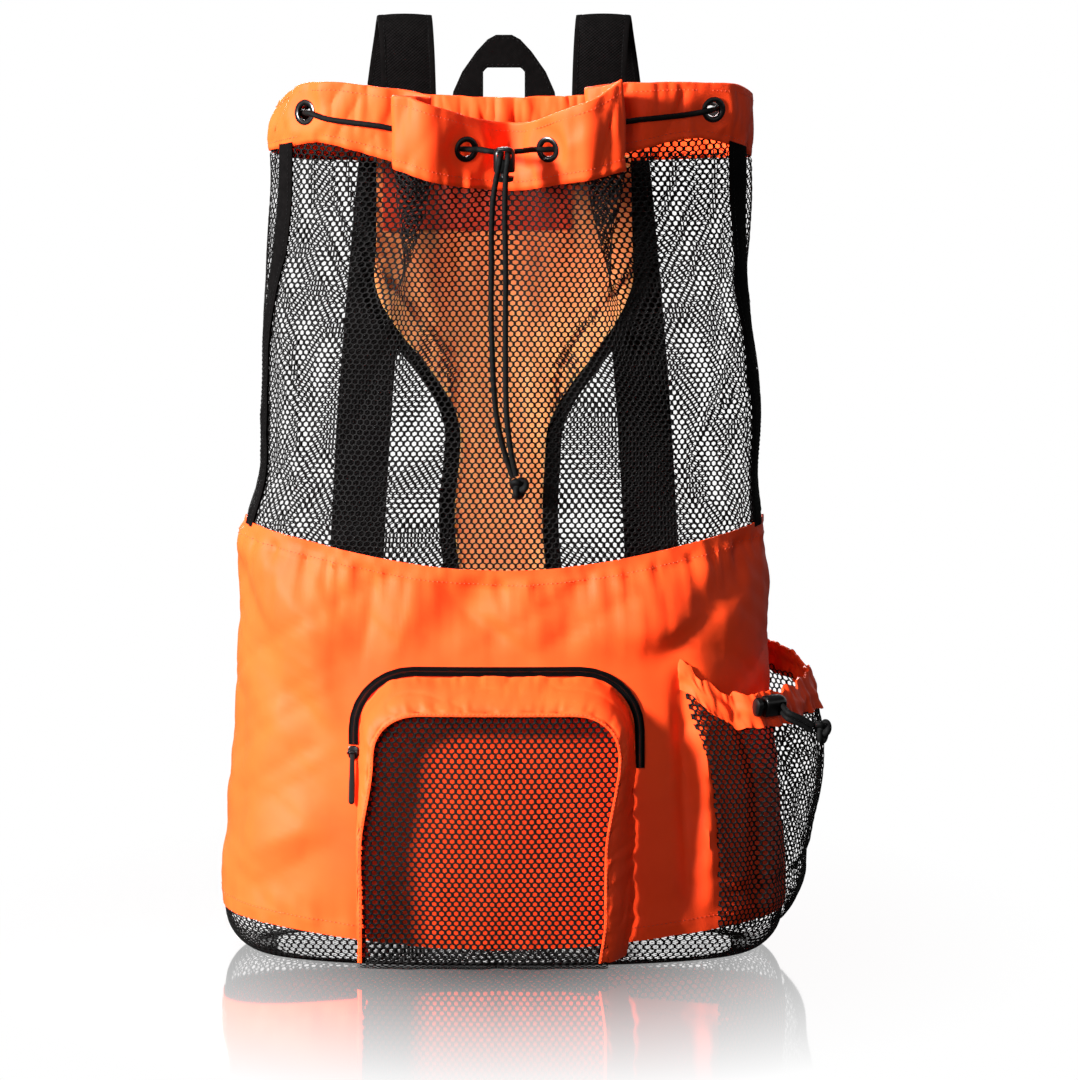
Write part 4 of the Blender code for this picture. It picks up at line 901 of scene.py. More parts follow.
def shaded(name, colour, roughness, **sockets):
    """A material with its Principled shader's plain values set."""
    made = bpy.data.materials.new(name)
    made.use_nodes = True
    inputs = principled(made).inputs
    inputs["Base Color"].default_value = (*colour, 1.0)
    inputs["Roughness"].default_value = roughness
    for socket, value in sockets.items():
        inputs[socket.replace("_", " ")].default_value = value
    made.diffuse_color = (*colour, 1.0)
    return made


def node(made, kind, *sources, **values):
    """A node with its values set and its first inputs linked to the sources."""
    found = made.node_tree.nodes.new(kind)
    for key, value in values.items():
        if key[0].isupper():
            found.inputs[key.replace("_", " ")].default_value = value
        else:
            setattr(found, key, value)
    for socket, source in zip(found.inputs, sources):
        made.node_tree.links.new(source, socket)
    return found


def ramped(made, source, *stops):
    """Colour along a ramp from the source's value: each stop is its position and its colour."""
    ramp = node(made, "ShaderNodeValToRGB", source)
    for element, (position, colour) in zip(ramp.color_ramp.elements, stops):
        element.position = position
        element.color = (*colour, 1.0)
    made.node_tree.links.new(ramp.outputs["Color"], principled(made).inputs["Base Color"])


def mottled(made, colour, other, scale):
    """Slow changes of colour over the surface."""
    place = node(made, "ShaderNodeTexCoord")
    cloud = node(made, "ShaderNodeTexNoise", place.outputs["Object"], Scale=scale, Detail=5.0,
                 Roughness=0.6)
    ramped(made, cloud.outputs["Fac"], (0.34, colour), (0.68, other))


def painted_light_ramp(made, low_colour, high_colour, low, high):
    """A slow change of colour with height, between two heights: painted light and shade."""
    place = node(made, "ShaderNodeTexCoord")
    apart = node(made, "ShaderNodeSeparateXYZ", place.outputs["Object"])
    rise = node(made, "ShaderNodeMapRange", apart.outputs["Z"], From_Min=low, From_Max=high)
    ramped(made, rise.outputs["Result"], (0.0, low_colour), (1.0, high_colour))


def bumped(made, height, depth):
    """The surface's relief from a height."""
    bump = node(made, "ShaderNodeBump", Distance=depth, Strength=1.0)
    made.node_tree.links.new(height, bump.inputs["Height"])
    made.node_tree.links.new(bump.outputs["Normal"], principled(made).inputs["Normal"])


def wave(made, source, pitch):
    """A sine along the source with this pitch in metres."""
    scaled = node(made, "ShaderNodeMath", source, operation="MULTIPLY_ADD")
    scaled.inputs[1].default_value = 2 * math.pi / pitch
    scaled.inputs[2].default_value = 0.0
    return node(made, "ShaderNodeMath", scaled.outputs[0], operation="SINE").outputs[0]


def woven(made, pitch_u, pitch_v, depth, grain):
    """Bump of a weave along the cloth's own directions, with some grain."""
    place = node(made, "ShaderNodeTexCoord")
    apart = node(made, "ShaderNodeSeparateXYZ", place.outputs["UV"])
    both = node(made, "ShaderNodeMath", wave(made, apart.outputs[0], pitch_u),
                wave(made, apart.outputs[1], pitch_v), operation="MULTIPLY")
    speck = node(made, "ShaderNodeTexNoise", place.outputs["Object"], Scale=900.0, Detail=2.0)
    total = node(made, "ShaderNodeMath", speck.outputs["Fac"], operation="MULTIPLY_ADD")
    total.inputs[1].default_value = grain
    made.node_tree.links.new(both.outputs[0], total.inputs[2])
    bumped(made, total.outputs[0], depth)


def grained(made, scale, depth):
    """Bump of fine grain."""
    place = node(made, "ShaderNodeTexCoord")
    speck = node(made, "ShaderNodeTexNoise", place.outputs["Object"], Scale=scale, Detail=4.0)
    bumped(made, speck.outputs["Fac"], depth)


# Each finish: its name, colour, roughness, specular level, the two colours that it drifts between
# and the scale of that drift
PLAIN_LOOKS = {
    "nylon": ("coated_nylon", (0.92, 0.060, 0.010), 0.50, 0.07,
              (0.94, 0.066, 0.011), (0.86, 0.050, 0.009), 9.0),
    # The yoke's doubled cloth: its deep red is painted shade, darker than the nylon it is made of.
    "lining_shade": ("nylon_lining_painted_shade", (0.36, 0.026, 0.008), 0.5, 0.2,
               (0.38, 0.028, 0.008), (0.31, 0.020, 0.007), 12.0),
    "net": ("black_net", (0.0018, 0.0015, 0.0015), 0.65, 0.08,
            (0.0013, 0.0011, 0.0011), (0.0028, 0.0023, 0.0023), 160.0),
    "tape": ("black_tape", (0.0014, 0.0012, 0.0012), 0.85, 0.03,
             (0.0010, 0.0008, 0.0008), (0.0022, 0.0018, 0.0018), 220.0),
    "pad": ("black_pad_mesh", (0.0014, 0.0012, 0.0012), 0.85, 0.03,
            (0.0009, 0.0007, 0.0007), (0.0024, 0.0020, 0.0020), 260.0),
    "braid": ("black_cord", (0.0014, 0.0013, 0.0013), 0.7, 0.06,
              (0.001, 0.001, 0.001), (0.003, 0.003, 0.003), 700.0),
    "plastic": ("black_plastic", (0.0016, 0.0016, 0.0016), 0.30, 0.22,
                (0.0013, 0.0013, 0.0013), (0.0025, 0.0025, 0.0025), 120.0),
    "metal": ("gunmetal", (0.014, 0.013, 0.013), 0.22, 0.5,
              (0.010, 0.009, 0.009), (0.022, 0.020, 0.020), 400.0),
    "thread": ("orange_thread", (0.62, 0.05, 0.01), 0.6, 0.5,
               (0.70, 0.06, 0.01), (0.50, 0.035, 0.008), 500.0),
    "dark": ("black_thread", (0.003, 0.003, 0.003), 0.7, 0.1,
             (0.002, 0.002, 0.002), (0.005, 0.005, 0.005), 500.0),
}
# Weaves: pitch along and across the cloth, depth and grain
WEAVES = {
    "nylon": (0.0009, 0.0009, 0.00003, 0.6),
    "panel": (0.0009, 0.0009, 0.00003, 0.6),
    "lining_shade": (0.0009, 0.0009, 0.00003, 0.6),
    "tape": (0.0016, 0.0011, 0.00016, 0.5),
    "pad": (0.0021, 0.0026, 0.0003, 0.4),
}
# Grains: scale and depth
GRAINS = {
    "net": (2400.0, 0.00008),
    "braid": (3200.0, 0.0001),
    "plastic": (1800.0, 0.00002),
    "metal": (900.0, 0.00001),
    "thread": (5000.0, 0.00003),
    "dark": (5000.0, 0.00003),
}


def materials():
    """Every finish by its short name."""
    # The back panel's colour is painted light. It is paler than the nylon as a painted glow of light through
    # it from behind. It darkens to deep red towards the yoke as painted shade where the straps and collar
    # keep that light off.
    panel = shaded("sheer_nylon_painted_light", (0.62, 0.29, 0.11), 0.45, Specular_IOR_Level=0.2, Subsurface_Weight=0.8,
                   Subsurface_Radius=(1.0, 0.6, 0.3), Subsurface_Scale=0.004)
    painted_light_ramp(panel, (0.62, 0.31, 0.12), (0.54, 0.17, 0.055), 0.42, 0.49)
    found = {"panel": panel}
    for key, (name, colour, roughness, specular, first, second, scale) in PLAIN_LOOKS.items():
        found[key] = shaded(name, colour, roughness, Specular_IOR_Level=specular)
        mottled(found[key], first, second, scale)
    principled(found["metal"]).inputs["Metallic"].default_value = 0.9
    for key, weave in WEAVES.items():
        woven(found[key], *weave)
    for key, grain in GRAINS.items():
        grained(found[key], *grain)
    return found


FINISH = materials()

# Waves and creases in the cloth
RANDOM = np.random.default_rng(11)
NOISE_CELLS = 64
NOISE_TABLE = RANDOM.uniform(-1.0, 1.0, (NOISE_CELLS, NOISE_CELLS))


def noise(u, v, lap=NOISE_CELLS):
    """Even noise from -1 to 1 that changes over a distance of 1, and repeats in u after a lap."""
    u, v = np.broadcast_arrays(np.asarray(u, float), np.asarray(v, float))
    low_u, low_v = np.floor(u).astype(int), np.floor(v).astype(int)
    part_u, part_v = smooth(u - low_u), smooth(v - low_v)

    def at(i, j):
        return NOISE_TABLE[((low_u + i) % lap) % NOISE_CELLS, (low_v + j) % NOISE_CELLS]

    low = at(0, 0) * (1 - part_u) + at(1, 0) * part_u
    high = at(0, 1) * (1 - part_u) + at(1, 1) * part_u
    return low * (1 - part_v) + high * part_v


def creased(u, v, lap=NOISE_CELLS):
    """Broad swells that meet in sharp creases, from 0 at a crease to about 1."""
    return np.sqrt(np.abs(noise(u, v, lap)) + 0.002)


# Meshes
def mesh_piece(name, points, corners, finish, uv=None, crease=None):
    """An object from points and arrays of faces, each with its own number of corners."""
    mesh = bpy.data.meshes.new(name)
    points = np.asarray(points, np.float32).reshape(-1, 3)
    corners = [np.asarray(group, np.int32) for group in corners]
    loops = np.concatenate([group.ravel() for group in corners])
    sizes = np.concatenate([np.full(len(group), group.shape[1]) for group in corners])
    mesh.vertices.add(len(points))
    mesh.vertices.foreach_set("co", points.ravel())
    mesh.loops.add(len(loops))
    mesh.loops.foreach_set("vertex_index", loops)
    mesh.polygons.add(len(sizes))
    mesh.polygons.foreach_set("loop_start", np.concatenate([[0], np.cumsum(sizes)[:-1]]).astype(np.int32))
    mesh.update(calc_edges=True)
    if uv is not None:
        layer = mesh.uv_layers.new(name="cloth")
        layer.uv.foreach_set("vector", np.asarray(uv, np.float32).ravel())
    mesh.validate()
    mesh.shade_smooth()
    if crease:
        mesh.set_sharp_from_angle(angle=math.radians(crease))
    mesh.materials.append(finish)
    return linked(name, mesh)


def worn(obj, slot, *nodes, body="bag"):
    """The piece moves with a body and stands for some CAD nodes, which it hides. Its slot is not used."""
    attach(obj, body)
    if nodes:
        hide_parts(*nodes)
    return obj


def steps_of(high, wide):
    """Row and column numbers of a grid, one row after another."""
    return [part.ravel() for part in np.meshgrid(np.arange(high), np.arange(wide), indexing="ij")]


def ring_faces(high, wide, closed=False):
    """Faces between rings of points. Closed joins the last ring to the first."""
    r, c = steps_of(high if closed else high - 1, wide)
    n, m = (c + 1) % wide, (r + 1) % high
    return np.stack([r * wide + c, r * wide + n, m * wide + n, m * wide + c], axis=1)


def end_caps(high, wide):
    """The faces that close a tube of rings at its two ends."""
    return [np.arange(wide)[::-1][None], ((high - 1) * wide + np.arange(wide))[None]]


def grid_normals(front, around=False):
    """Outward directions of a grid of points whose rows go up."""
    if around:
        along = np.roll(front, -1, axis=1) - np.roll(front, 1, axis=1)
    else:
        along = np.gradient(front, axis=1)
    up = np.gradient(front, axis=0)
    return unit(np.cross(up, along))


def map_places(u, v, grid):
    """Places on the cloth's map at each corner's column and row."""
    return np.stack([np.stack([u[i], v[j]], axis=-1) for i, j in grid], axis=1)


def around_face(r, c):
    """The four corners of a grid's face, as rows and columns."""
    return [(r, c), (r + 1, c), (r + 1, c + 1), (r, c + 1)]


def cloth(name, front, thick, finish, around=False):
    """A closed cloth wall behind a grid of points. Its UV map is in metres along the cloth."""
    front = np.asarray(front, float)
    high, wide = front.shape[:2]
    back = front - grid_normals(front, around) * np.asarray(thick, float)[..., None]
    across = wide if around else wide - 1
    middle = front[high // 2]
    u = lengths(np.vstack([middle, middle[:1]]))
    v = lengths(front[:, wide // 2])
    r, c = steps_of(high - 1, across)
    grid = around_face(r, c)
    groups = [[(*corner, 0) for corner in grid], [(*corner, 1) for corner in grid[::-1]]]
    c = np.arange(across)
    low, top = 0 * c, 0 * c + high - 1
    groups.append([(low, c, 0), (low, c + 1, 0), (low, c + 1, 1), (low, c, 1)])
    groups.append([(top, c + 1, 0), (top, c, 0), (top, c, 1), (top, c + 1, 1)])
    if not around:
        r = np.arange(high - 1)
        first, last = 0 * r, 0 * r + wide - 1
        groups.append([(r + 1, first, 0), (r, first, 0), (r, first, 1), (r + 1, first, 1)])
        groups.append([(r, last, 0), (r + 1, last, 0), (r + 1, last, 1), (r, last, 1)])
    corners, uv = [], []
    for group in groups:
        corners.append(np.stack([layer * high * wide + r * wide + c % wide for r, c, layer in group], axis=1))
        uv.append(map_places(u, v, [(c, r) for r, c, _ in group]))
    points = np.concatenate([front.reshape(-1, 3), back.reshape(-1, 3)])
    return mesh_piece(name, points, [np.concatenate(corners)], finish, np.concatenate(uv), crease=50)


def path_frames(points):
    """Directions along a line of points, and two more across it that don't twist."""
    points = np.asarray(points, float)
    along = unit(np.gradient(points, axis=0))
    side = np.cross(along[0], (0.3, 0.2, 1.0))
    sides = []
    for direction in along:
        side = side - direction * (side @ direction)
        side = side / np.linalg.norm(side)
        sides.append(side)
    sides = np.array(sides)
    return along, sides, np.cross(along, sides)


def resampled(points, step):
    """A smooth line through the points, as points an even step apart."""
    points = np.asarray([list(point) for point in points], float)
    knots = lengths(points)
    fine = np.linspace(0.0, knots[-1], 12 * len(points))
    curve = spline_line(points, knots, fine)
    along = lengths(curve)
    return read_line(curve, along, np.linspace(0.0, along[-1], max(3, round(along[-1] / step) + 1)))


def rounds(turn, side, up):
    """Directions of a full turn across a line, at each of its points."""
    return np.cos(turn)[None, :, None] * side[:, None] + np.sin(turn)[None, :, None] * up[:, None]


def braided(name, points, diameter, finish, step=0.0007, sides=12, strands=3, relief=0.05):
    """A braided cord along a line of points. Returns the piece and the points at its middle."""
    path = resampled(points, step)
    _, side, up = path_frames(path)
    turn = circle(sides)
    run = lengths(path)[:, None] * 2 * math.pi / (1.5 * diameter)
    weave = np.maximum(np.cos(strands * turn + run), np.cos(strands * turn - run))
    radius = diameter / 2 * (1 + relief * (weave - 0.6))
    rows = path[:, None] + rounds(turn, side, up) * radius[..., None]
    high, wide = rows.shape[:2]
    return mesh_piece(name, rows, [ring_faces(high, wide), *end_caps(high, wide)], finish), path


# Gathers at the collar's hem, the waist and the base hem: lift, reach, and a coarse and a fine size,
# each with its count round the bag, its start, the length over which it changes and its weight
SEAM_GATHERS = (
    (0.0022, 0.030, (96, 0, 0.09, 1.0), (210, 5, 0.05, 0.5)),
    (0.0008, 0.010, (150, 0, 0.05, 1.0), (330, 0, 0.03, 0.6)),
    (0.0009, 0.010, (120, 9, 0.05, 1.0), (290, 0, 0.03, 0.6)),
)


# Lifts of the upper body's slow swells, its long folds and its fine creases, and where the folds fade
SWELL_LIFT = 0.0024
LONG_FOLD_LIFT = 0.0050
CREASE_LIFT = 0.0012
UPPER_EDGE = 0.05
LONG_FOLD_REACH = 0.22


def gathered(share, height, count, start, length, weight):
    """Gathers of one size round the bag."""
    return weight * noise(share * count + start, height / length, count)


def wrinkles(share, height):
    """Gathers at the seams and slow swells of the whole wall, shared by all pieces on it."""
    share, height = np.broadcast_arrays(np.asarray(share, float), np.asarray(height, float))
    below, away = hem(share) - height, height - waist(share)
    out = 0.0
    for seam, (lift, reach, coarse, fine) in zip((below, away, height - base_hem(share)), SEAM_GATHERS):
        tucks = gathered(share, height, *coarse) + gathered(share, height, *fine)
        out = out + lift * tucks * np.exp(-np.abs(seam) / reach)
    upper = smooth(away / UPPER_EDGE) * smooth(below / UPPER_EDGE)
    out = out + SWELL_LIFT * upper * noise(share * 13, height / 0.08, 13)
    long_folds = creased(share * 24 + height * 9, height / 0.22 + 5, 24) - 0.7
    out = out + LONG_FOLD_LIFT * upper * long_folds * np.exp(-below / LONG_FOLD_REACH)
    out = out - CREASE_LIFT * upper * creased(share * 26 + height * 22, height / 0.12, 26)
    place = plain_wall(share, height)
    front = smooth(-place[..., 1] / 0.03)
    return out + upper * front * folded(place[..., 0], height, NET_FOLDS)


# The long folds of the front net
NET_FOLDS = (
    # lift, width left, width right, points (x, height)
    (-0.0080, 0.005, 0.012, ((0.1700, 0.4050), (0.1480, 0.3850), (0.1370, 0.3600), (0.1330, 0.3200))),
    (0.0050, 0.012, 0.005, ((-0.1600, 0.4300), (-0.1450, 0.3800), (-0.1420, 0.3300))),
)

# The folds of the collar's front flap
COLLAR_FOLDS = (
    # lift, width left, width right, points (x, height)
    (0.0085, 0.018, 0.012, ((-0.0615, 0.6300), (-0.0600, 0.5200))),
    (-0.0110, 0.013, 0.017, ((0.0060, 0.6300), (0.0040, 0.5700), (0.0030, 0.5200))),
    (0.0070, 0.012, 0.022, ((0.0660, 0.6300), (0.0640, 0.5200))),
    (0.0035, 0.006, 0.010, ((0.0080, 0.5900), (0.0350, 0.6000), (0.0680, 0.6080))),
    (0.0030, 0.008, 0.005, ((0.0300, 0.5500), (0.0450, 0.5750), (0.0580, 0.5850))),
)

# The long folds of the lower body's front. Each lifts by its lift along a line of points, and fades
# over one width on the side to the left of its way and over another on the right.
BODY_FOLDS = (
    # lift, width left, width right, points (x, height)
    (0.0080, 0.016, 0.030, ((-0.1754, 0.3000), (-0.1443, 0.2571), (-0.1119, 0.2198), (-0.0935, 0.1825))),
    (0.0050, 0.009, 0.018, ((-0.1359, 0.2901), (-0.1203, 0.2485), (-0.1005, 0.2227))),
    (-0.0045, 0.007, 0.009, ((-0.0921, 0.2760), (-0.0935, 0.2485), (-0.1005, 0.2084))),
    (0.0050, 0.022, 0.009, ((-0.0638, 0.2700), (-0.0723, 0.2284), (-0.0864, 0.2084))),
    (-0.0060, 0.016, 0.010, ((-0.0468, 0.2771), (-0.0242, 0.2485), (0.0097, 0.2284), (0.0181, 0.2140))),
    (0.0050, 0.022, 0.008, ((-0.0073, 0.2743), (-0.0045, 0.2485), (0.0210, 0.2284), (0.0407, 0.2198))),
    (0.0075, 0.022, 0.026, ((0.0916, 0.2140), (0.1142, 0.2342), (0.1595, 0.2743))),
    (0.0085, 0.035, 0.030, ((0.1010, 0.2950), (0.0960, 0.2450), (0.0940, 0.2080))),
    (0.0045, 0.014, 0.018, ((-0.1203, 0.2284), (-0.1231, 0.1940), (-0.1005, 0.1596))),
    (0.0040, 0.020, 0.016, ((-0.1768, 0.2743), (-0.1514, 0.2227), (-0.1542, 0.1825), (-0.1700, 0.1300))),
    (0.0040, 0.018, 0.014, ((-0.1881, 0.0677), (-0.1373, 0.0964), (-0.1005, 0.0849))),
    (0.0065, 0.008, 0.006, ((0.1300, 0.1950), (0.1365, 0.1650), (0.1400, 0.1200), (0.1425, 0.0450))),
    (-0.0060, 0.005, 0.008, ((0.1170, 0.1900), (0.1235, 0.1650), (0.1265, 0.1200), (0.1285, 0.0500))),
    (-0.0040, 0.005, 0.005, ((0.0945, 0.0500), (0.1253, 0.0440))),
    (0.0035, 0.008, 0.012, ((0.1500, 0.2300), (0.1650, 0.2620), (0.1720, 0.2950))),
)


def folded(x, height, folds):
    """How far some folds lift the cloth at places given by x and height."""
    lift = np.zeros(np.broadcast(x, height).shape)
    for rise, width_left, width_right, points in folds:
        line = smooth_line([(*point, 0.0) for point in points])[:, :2]
        run = lengths(line)
        near = np.full(lift.shape, 9.0)
        side, along = np.zeros(lift.shape), np.zeros(lift.shape)
        for start, end, begun, done in zip(line[:-1], line[1:], run[:-1], run[1:]):
            way = end - start
            part = ((x - start[0]) * way[0] + (height - start[1]) * way[1]) / (way @ way)
            part = np.clip(part, 0.0, 1.0)
            off_x, off_z = x - start[0] - part * way[0], height - start[1] - part * way[1]
            away = np.hypot(off_x, off_z)
            closer = away < near
            near = np.where(closer, away, near)
            side = np.where(closer, way[0] * off_z - way[1] * off_x, side)
            along = np.where(closer, (begun + part * (done - begun)) / run[-1], along)
        width = np.where(side > 0, width_left, width_right)
        crest = np.exp(0.12 - np.sqrt((near / width) ** 2 + 0.0144))
        lift = lift + rise * crest * (0.35 + 0.65 * np.sin(np.clip(along, 0, 1) * math.pi))
    return lift


# The lower body's gathers: lift and reach at its waist and at its base hem, and its facets' lift
WAIST_GATHER, WAIST_REACH, WAIST_START = 0.0040, 0.022, 0.004
BASE_GATHER, BASE_REACH = 0.0020, 0.018
GATHER_EASE = 0.008
FACET_LIFT = 0.0032
POCKET_FLAT = 0.8


def crumple(share, height):
    """The lower body's own creases: short gathers under its hem, long folds and small facets."""
    away = waist(share) - height
    gathers = noise(share * 84 + away * 9, away / 0.11 + 3, 84)
    gathers = gathers + 0.9 * noise(share * 210 + 4, away / 0.05, 210)
    out = WAIST_GATHER * gathers * np.exp(-away / WAIST_REACH) * smooth((away - WAIST_START) / GATHER_EASE)
    foot = height - base_hem(share)
    gathers = noise(share * 110, foot / 0.05, 110)
    out = out + BASE_GATHER * gathers * np.exp(-foot / BASE_REACH) * smooth(foot / GATHER_EASE)
    bare = smooth(away / WAIST_REACH) * smooth(foot / WAIST_REACH)
    bare = bare * (1 - POCKET_FLAT * pocket_cover(share, height))
    facets = creased(share * 17 + height * 30, height / 0.055 + share * 9, 17)
    facets = facets + 0.6 * creased(share * 37 - height * 52, height / 0.034, 37)
    place = plain_wall(share, height)
    front = smooth((0.02 - place[..., 1]) / 0.03)
    return out + bare * (FACET_LIFT * (facets - 0.8) + front * folded(place[..., 0], height, BODY_FOLDS))


def on_wall(share, height, out=0.0):
    """Wall points with their gathers."""
    return wall(share, height, out + wrinkles(share, height))


# Nets. Hole sizes are shares of the pitch, and tucked edges lie this far behind a hem or tape.
NET_PITCH = 0.0050
NET_ROW = 0.0035
NET_HOLE_WIDE = 0.67
NET_HOLE_HIGH = 0.86
STRAND_THICK = 0.0008
FRONT_OPEN = 0.95
BACK_OPEN = 1.06
FLAT_STRAND = 0.0002
NET_TUCK = 0.0020
NET_WANDER = 0.07


def netting(name, place, u_range, v_range, inside=None, thick=STRAND_THICK, open_part=1.0):
    """A net of rounded six-sided holes. Place maps distances along and up, and an offset, to points."""
    count_u = max(1, round((u_range[1] - u_range[0]) / NET_PITCH))
    count_v = max(1, round((v_range[1] - v_range[0]) / NET_ROW))
    pitch = (u_range[1] - u_range[0]) / (count_u + 0.5)
    row = (v_range[1] - v_range[0]) / (count_v + 1 / 3)
    j, i = (part.ravel() for part in np.meshgrid(np.arange(count_v), np.arange(count_u), indexing="ij"))
    at_u = u_range[0] + pitch * (i + 0.5 + 0.5 * (j % 2))
    at_v = v_range[0] + row * (j + 2 / 3)
    if inside is not None:
        kept = inside(at_u, at_v)
        at_u, at_v, i, j = at_u[kept], at_v[kept], i[kept], j[kept]
    around = np.array([(0, 2), (1, 1), (1, -1), (0, -2), (-1, -1), (-1, 1)])
    key_u = (2 * i + 1 + j % 2)[:, None] + around[:, 0]
    key_v = (3 * j + 2)[:, None] + around[:, 1]
    keys, index = np.unique(key_u * 100000 + key_v, return_inverse=True)
    index = index.reshape(key_u.shape)
    ridge_u = u_range[0] + (keys // 100000) * pitch / 2
    ridge_v = v_range[0] + (keys % 100000) * row / 3
    wander = NET_WANDER * pitch
    ridge_u = ridge_u + wander * noise(ridge_u / 0.004, ridge_v / 0.004)
    ridge_v = ridge_v + wander * noise(ridge_u / 0.004 + 17, ridge_v / 0.004 + 5)
    tips = np.where(around[:, 0] == 0, 0.92, 1.0) * NET_HOLE_HIGH * open_part
    middle_u = ridge_u[index].mean(axis=1, keepdims=True)
    middle_v = ridge_v[index].mean(axis=1, keepdims=True)
    hole_u = (middle_u + (ridge_u[index] - middle_u) * NET_HOLE_WIDE * open_part).ravel()
    hole_v = (middle_v + (ridge_v[index] - middle_v) * tips).ravel()
    half = thick / 2
    points = np.concatenate([
        place(ridge_u, ridge_v, half), place(ridge_u, ridge_v, -half), place(hole_u, hole_v, 0.0)
    ])
    ridges = len(keys)
    hole = 2 * ridges + np.arange(index.size).reshape(index.shape)
    nxt = np.roll(index, -1, axis=1)
    hole_next = np.roll(hole, -1, axis=1)
    front = np.stack([index, nxt, hole_next, hole], axis=-1).reshape(-1, 4)
    back = np.stack([hole, hole_next, nxt + ridges, index + ridges], axis=-1).reshape(-1, 4)
    low, high = np.minimum(index, nxt).ravel(), np.maximum(index, nxt).ravel()
    _, first, uses = np.unique(low.astype(np.int64) * ridges + high, return_index=True, return_counts=True)
    a, b = index.ravel()[first[uses == 1]], nxt.ravel()[first[uses == 1]]
    rim_faces = np.stack([b, a, a + ridges, b + ridges], axis=1)
    return mesh_piece(name, points, [front, back, rim_faces], FINISH["net"])


def hidden(away, reach, start):
    """How far a net's edge lies behind its tape or hem: 1 at the seam, 0 away from it."""
    return 1 - smooth(away / reach + start)


def wall_net(name, node_name, share_range, height_range, inside, tucked, open_part=1.0):
    """A net on the bag's wall. Tucked gives how far a place lies behind a hem or tape, 0 to 1."""
    def place(u, v, out):
        share = u / GIRTH
        return on_wall(share, v, out - NET / 2 - NET_TUCK * tucked(share, v))

    u_range = [share * GIRTH for share in share_range]
    net = netting(
        name, place, u_range, height_range, lambda u, v: inside(u / GIRTH, v), open_part=open_part)
    return worn(net, "net", node_name)


def upper_nets():
    """The nets round the upper body. Their cut edges lie behind the hems and tapes."""
    low, high = WAIST_HEIGHT - WAIST_BACK_DROP - 0.008, RIM_HEIGHT - 0.020
    tuck = 0.005

    def between_hems(share, height):
        return (height > waist(share) - tuck) & (height < hem(share) + tuck)

    def at_hems(share, height):
        near = np.minimum(height - waist(share), hem(share) - height)
        return hidden(near, 0.004, 0.25)

    half = SIDE_TAPE / 2 / GIRTH
    start, end = 0.5 - SIDE_SEAM_SHARE, 0.5 + SIDE_SEAM_SHARE

    def front_inside(share, height):
        return between_hems(share, height) & (share > start - half / 2) & (share < end + half / 2)

    def front_tucked(share, height):
        side = np.minimum(share - start, end - share) * GIRTH
        return np.maximum(at_hems(share, height), hidden(side - SIDE_TAPE / 2, 0.003, 0.6))

    wall_net("front_netting", "front_net", (start - half, end + half), (low, high), front_inside,
             front_tucked, open_part=FRONT_OPEN)

    heights = np.linspace(low, high, 40)
    for side, word in ((1, "right"), (-1, "left")):
        edge = np.array([panel_line(side, BINDING_WIDTH / 2)(height) for height in heights])
        seam = 0.5 - side * SIDE_SEAM_SHARE

        def edge_away(share, height):
            return (share - np.interp(height, heights, edge)) * side * GIRTH

        def seam_away(share):
            return (seam - share) * side * GIRTH

        def back_inside(share, height):
            return (between_hems(share, height) & (edge_away(share, height) > 0)
                    & (seam_away(share) > -SIDE_TAPE / 4))

        def back_tucked(share, height):
            near = np.minimum(edge_away(share, height) - BINDING_WIDTH / 2,
                              seam_away(share) - SIDE_TAPE / 2)
            return np.maximum(at_hems(share, height), hidden(near, 0.003, 0.6))

        ends = sorted((edge.min() - 0.002, edge.max() + 0.002, seam, seam + side * half))
        wall_net(f"back_netting_{word}", f"back_net_{word}", (ends[0], ends[-1]), (low, high), back_inside,
                 back_tucked, open_part=BACK_OPEN)


TAPE_STAND, TAPE_CROWN = 0.0009, 0.0005
TAPE_TUCK, PANEL_TUCK = 0.003, 0.004
TAPE_SEAMS = (0.18, 0.82)
PANEL_RIPPLE, PANEL_FINE_RIPPLE, PANEL_BEHIND = 0.0012, 0.0006, 0.0022
PATCH_RIPPLE = 0.0005


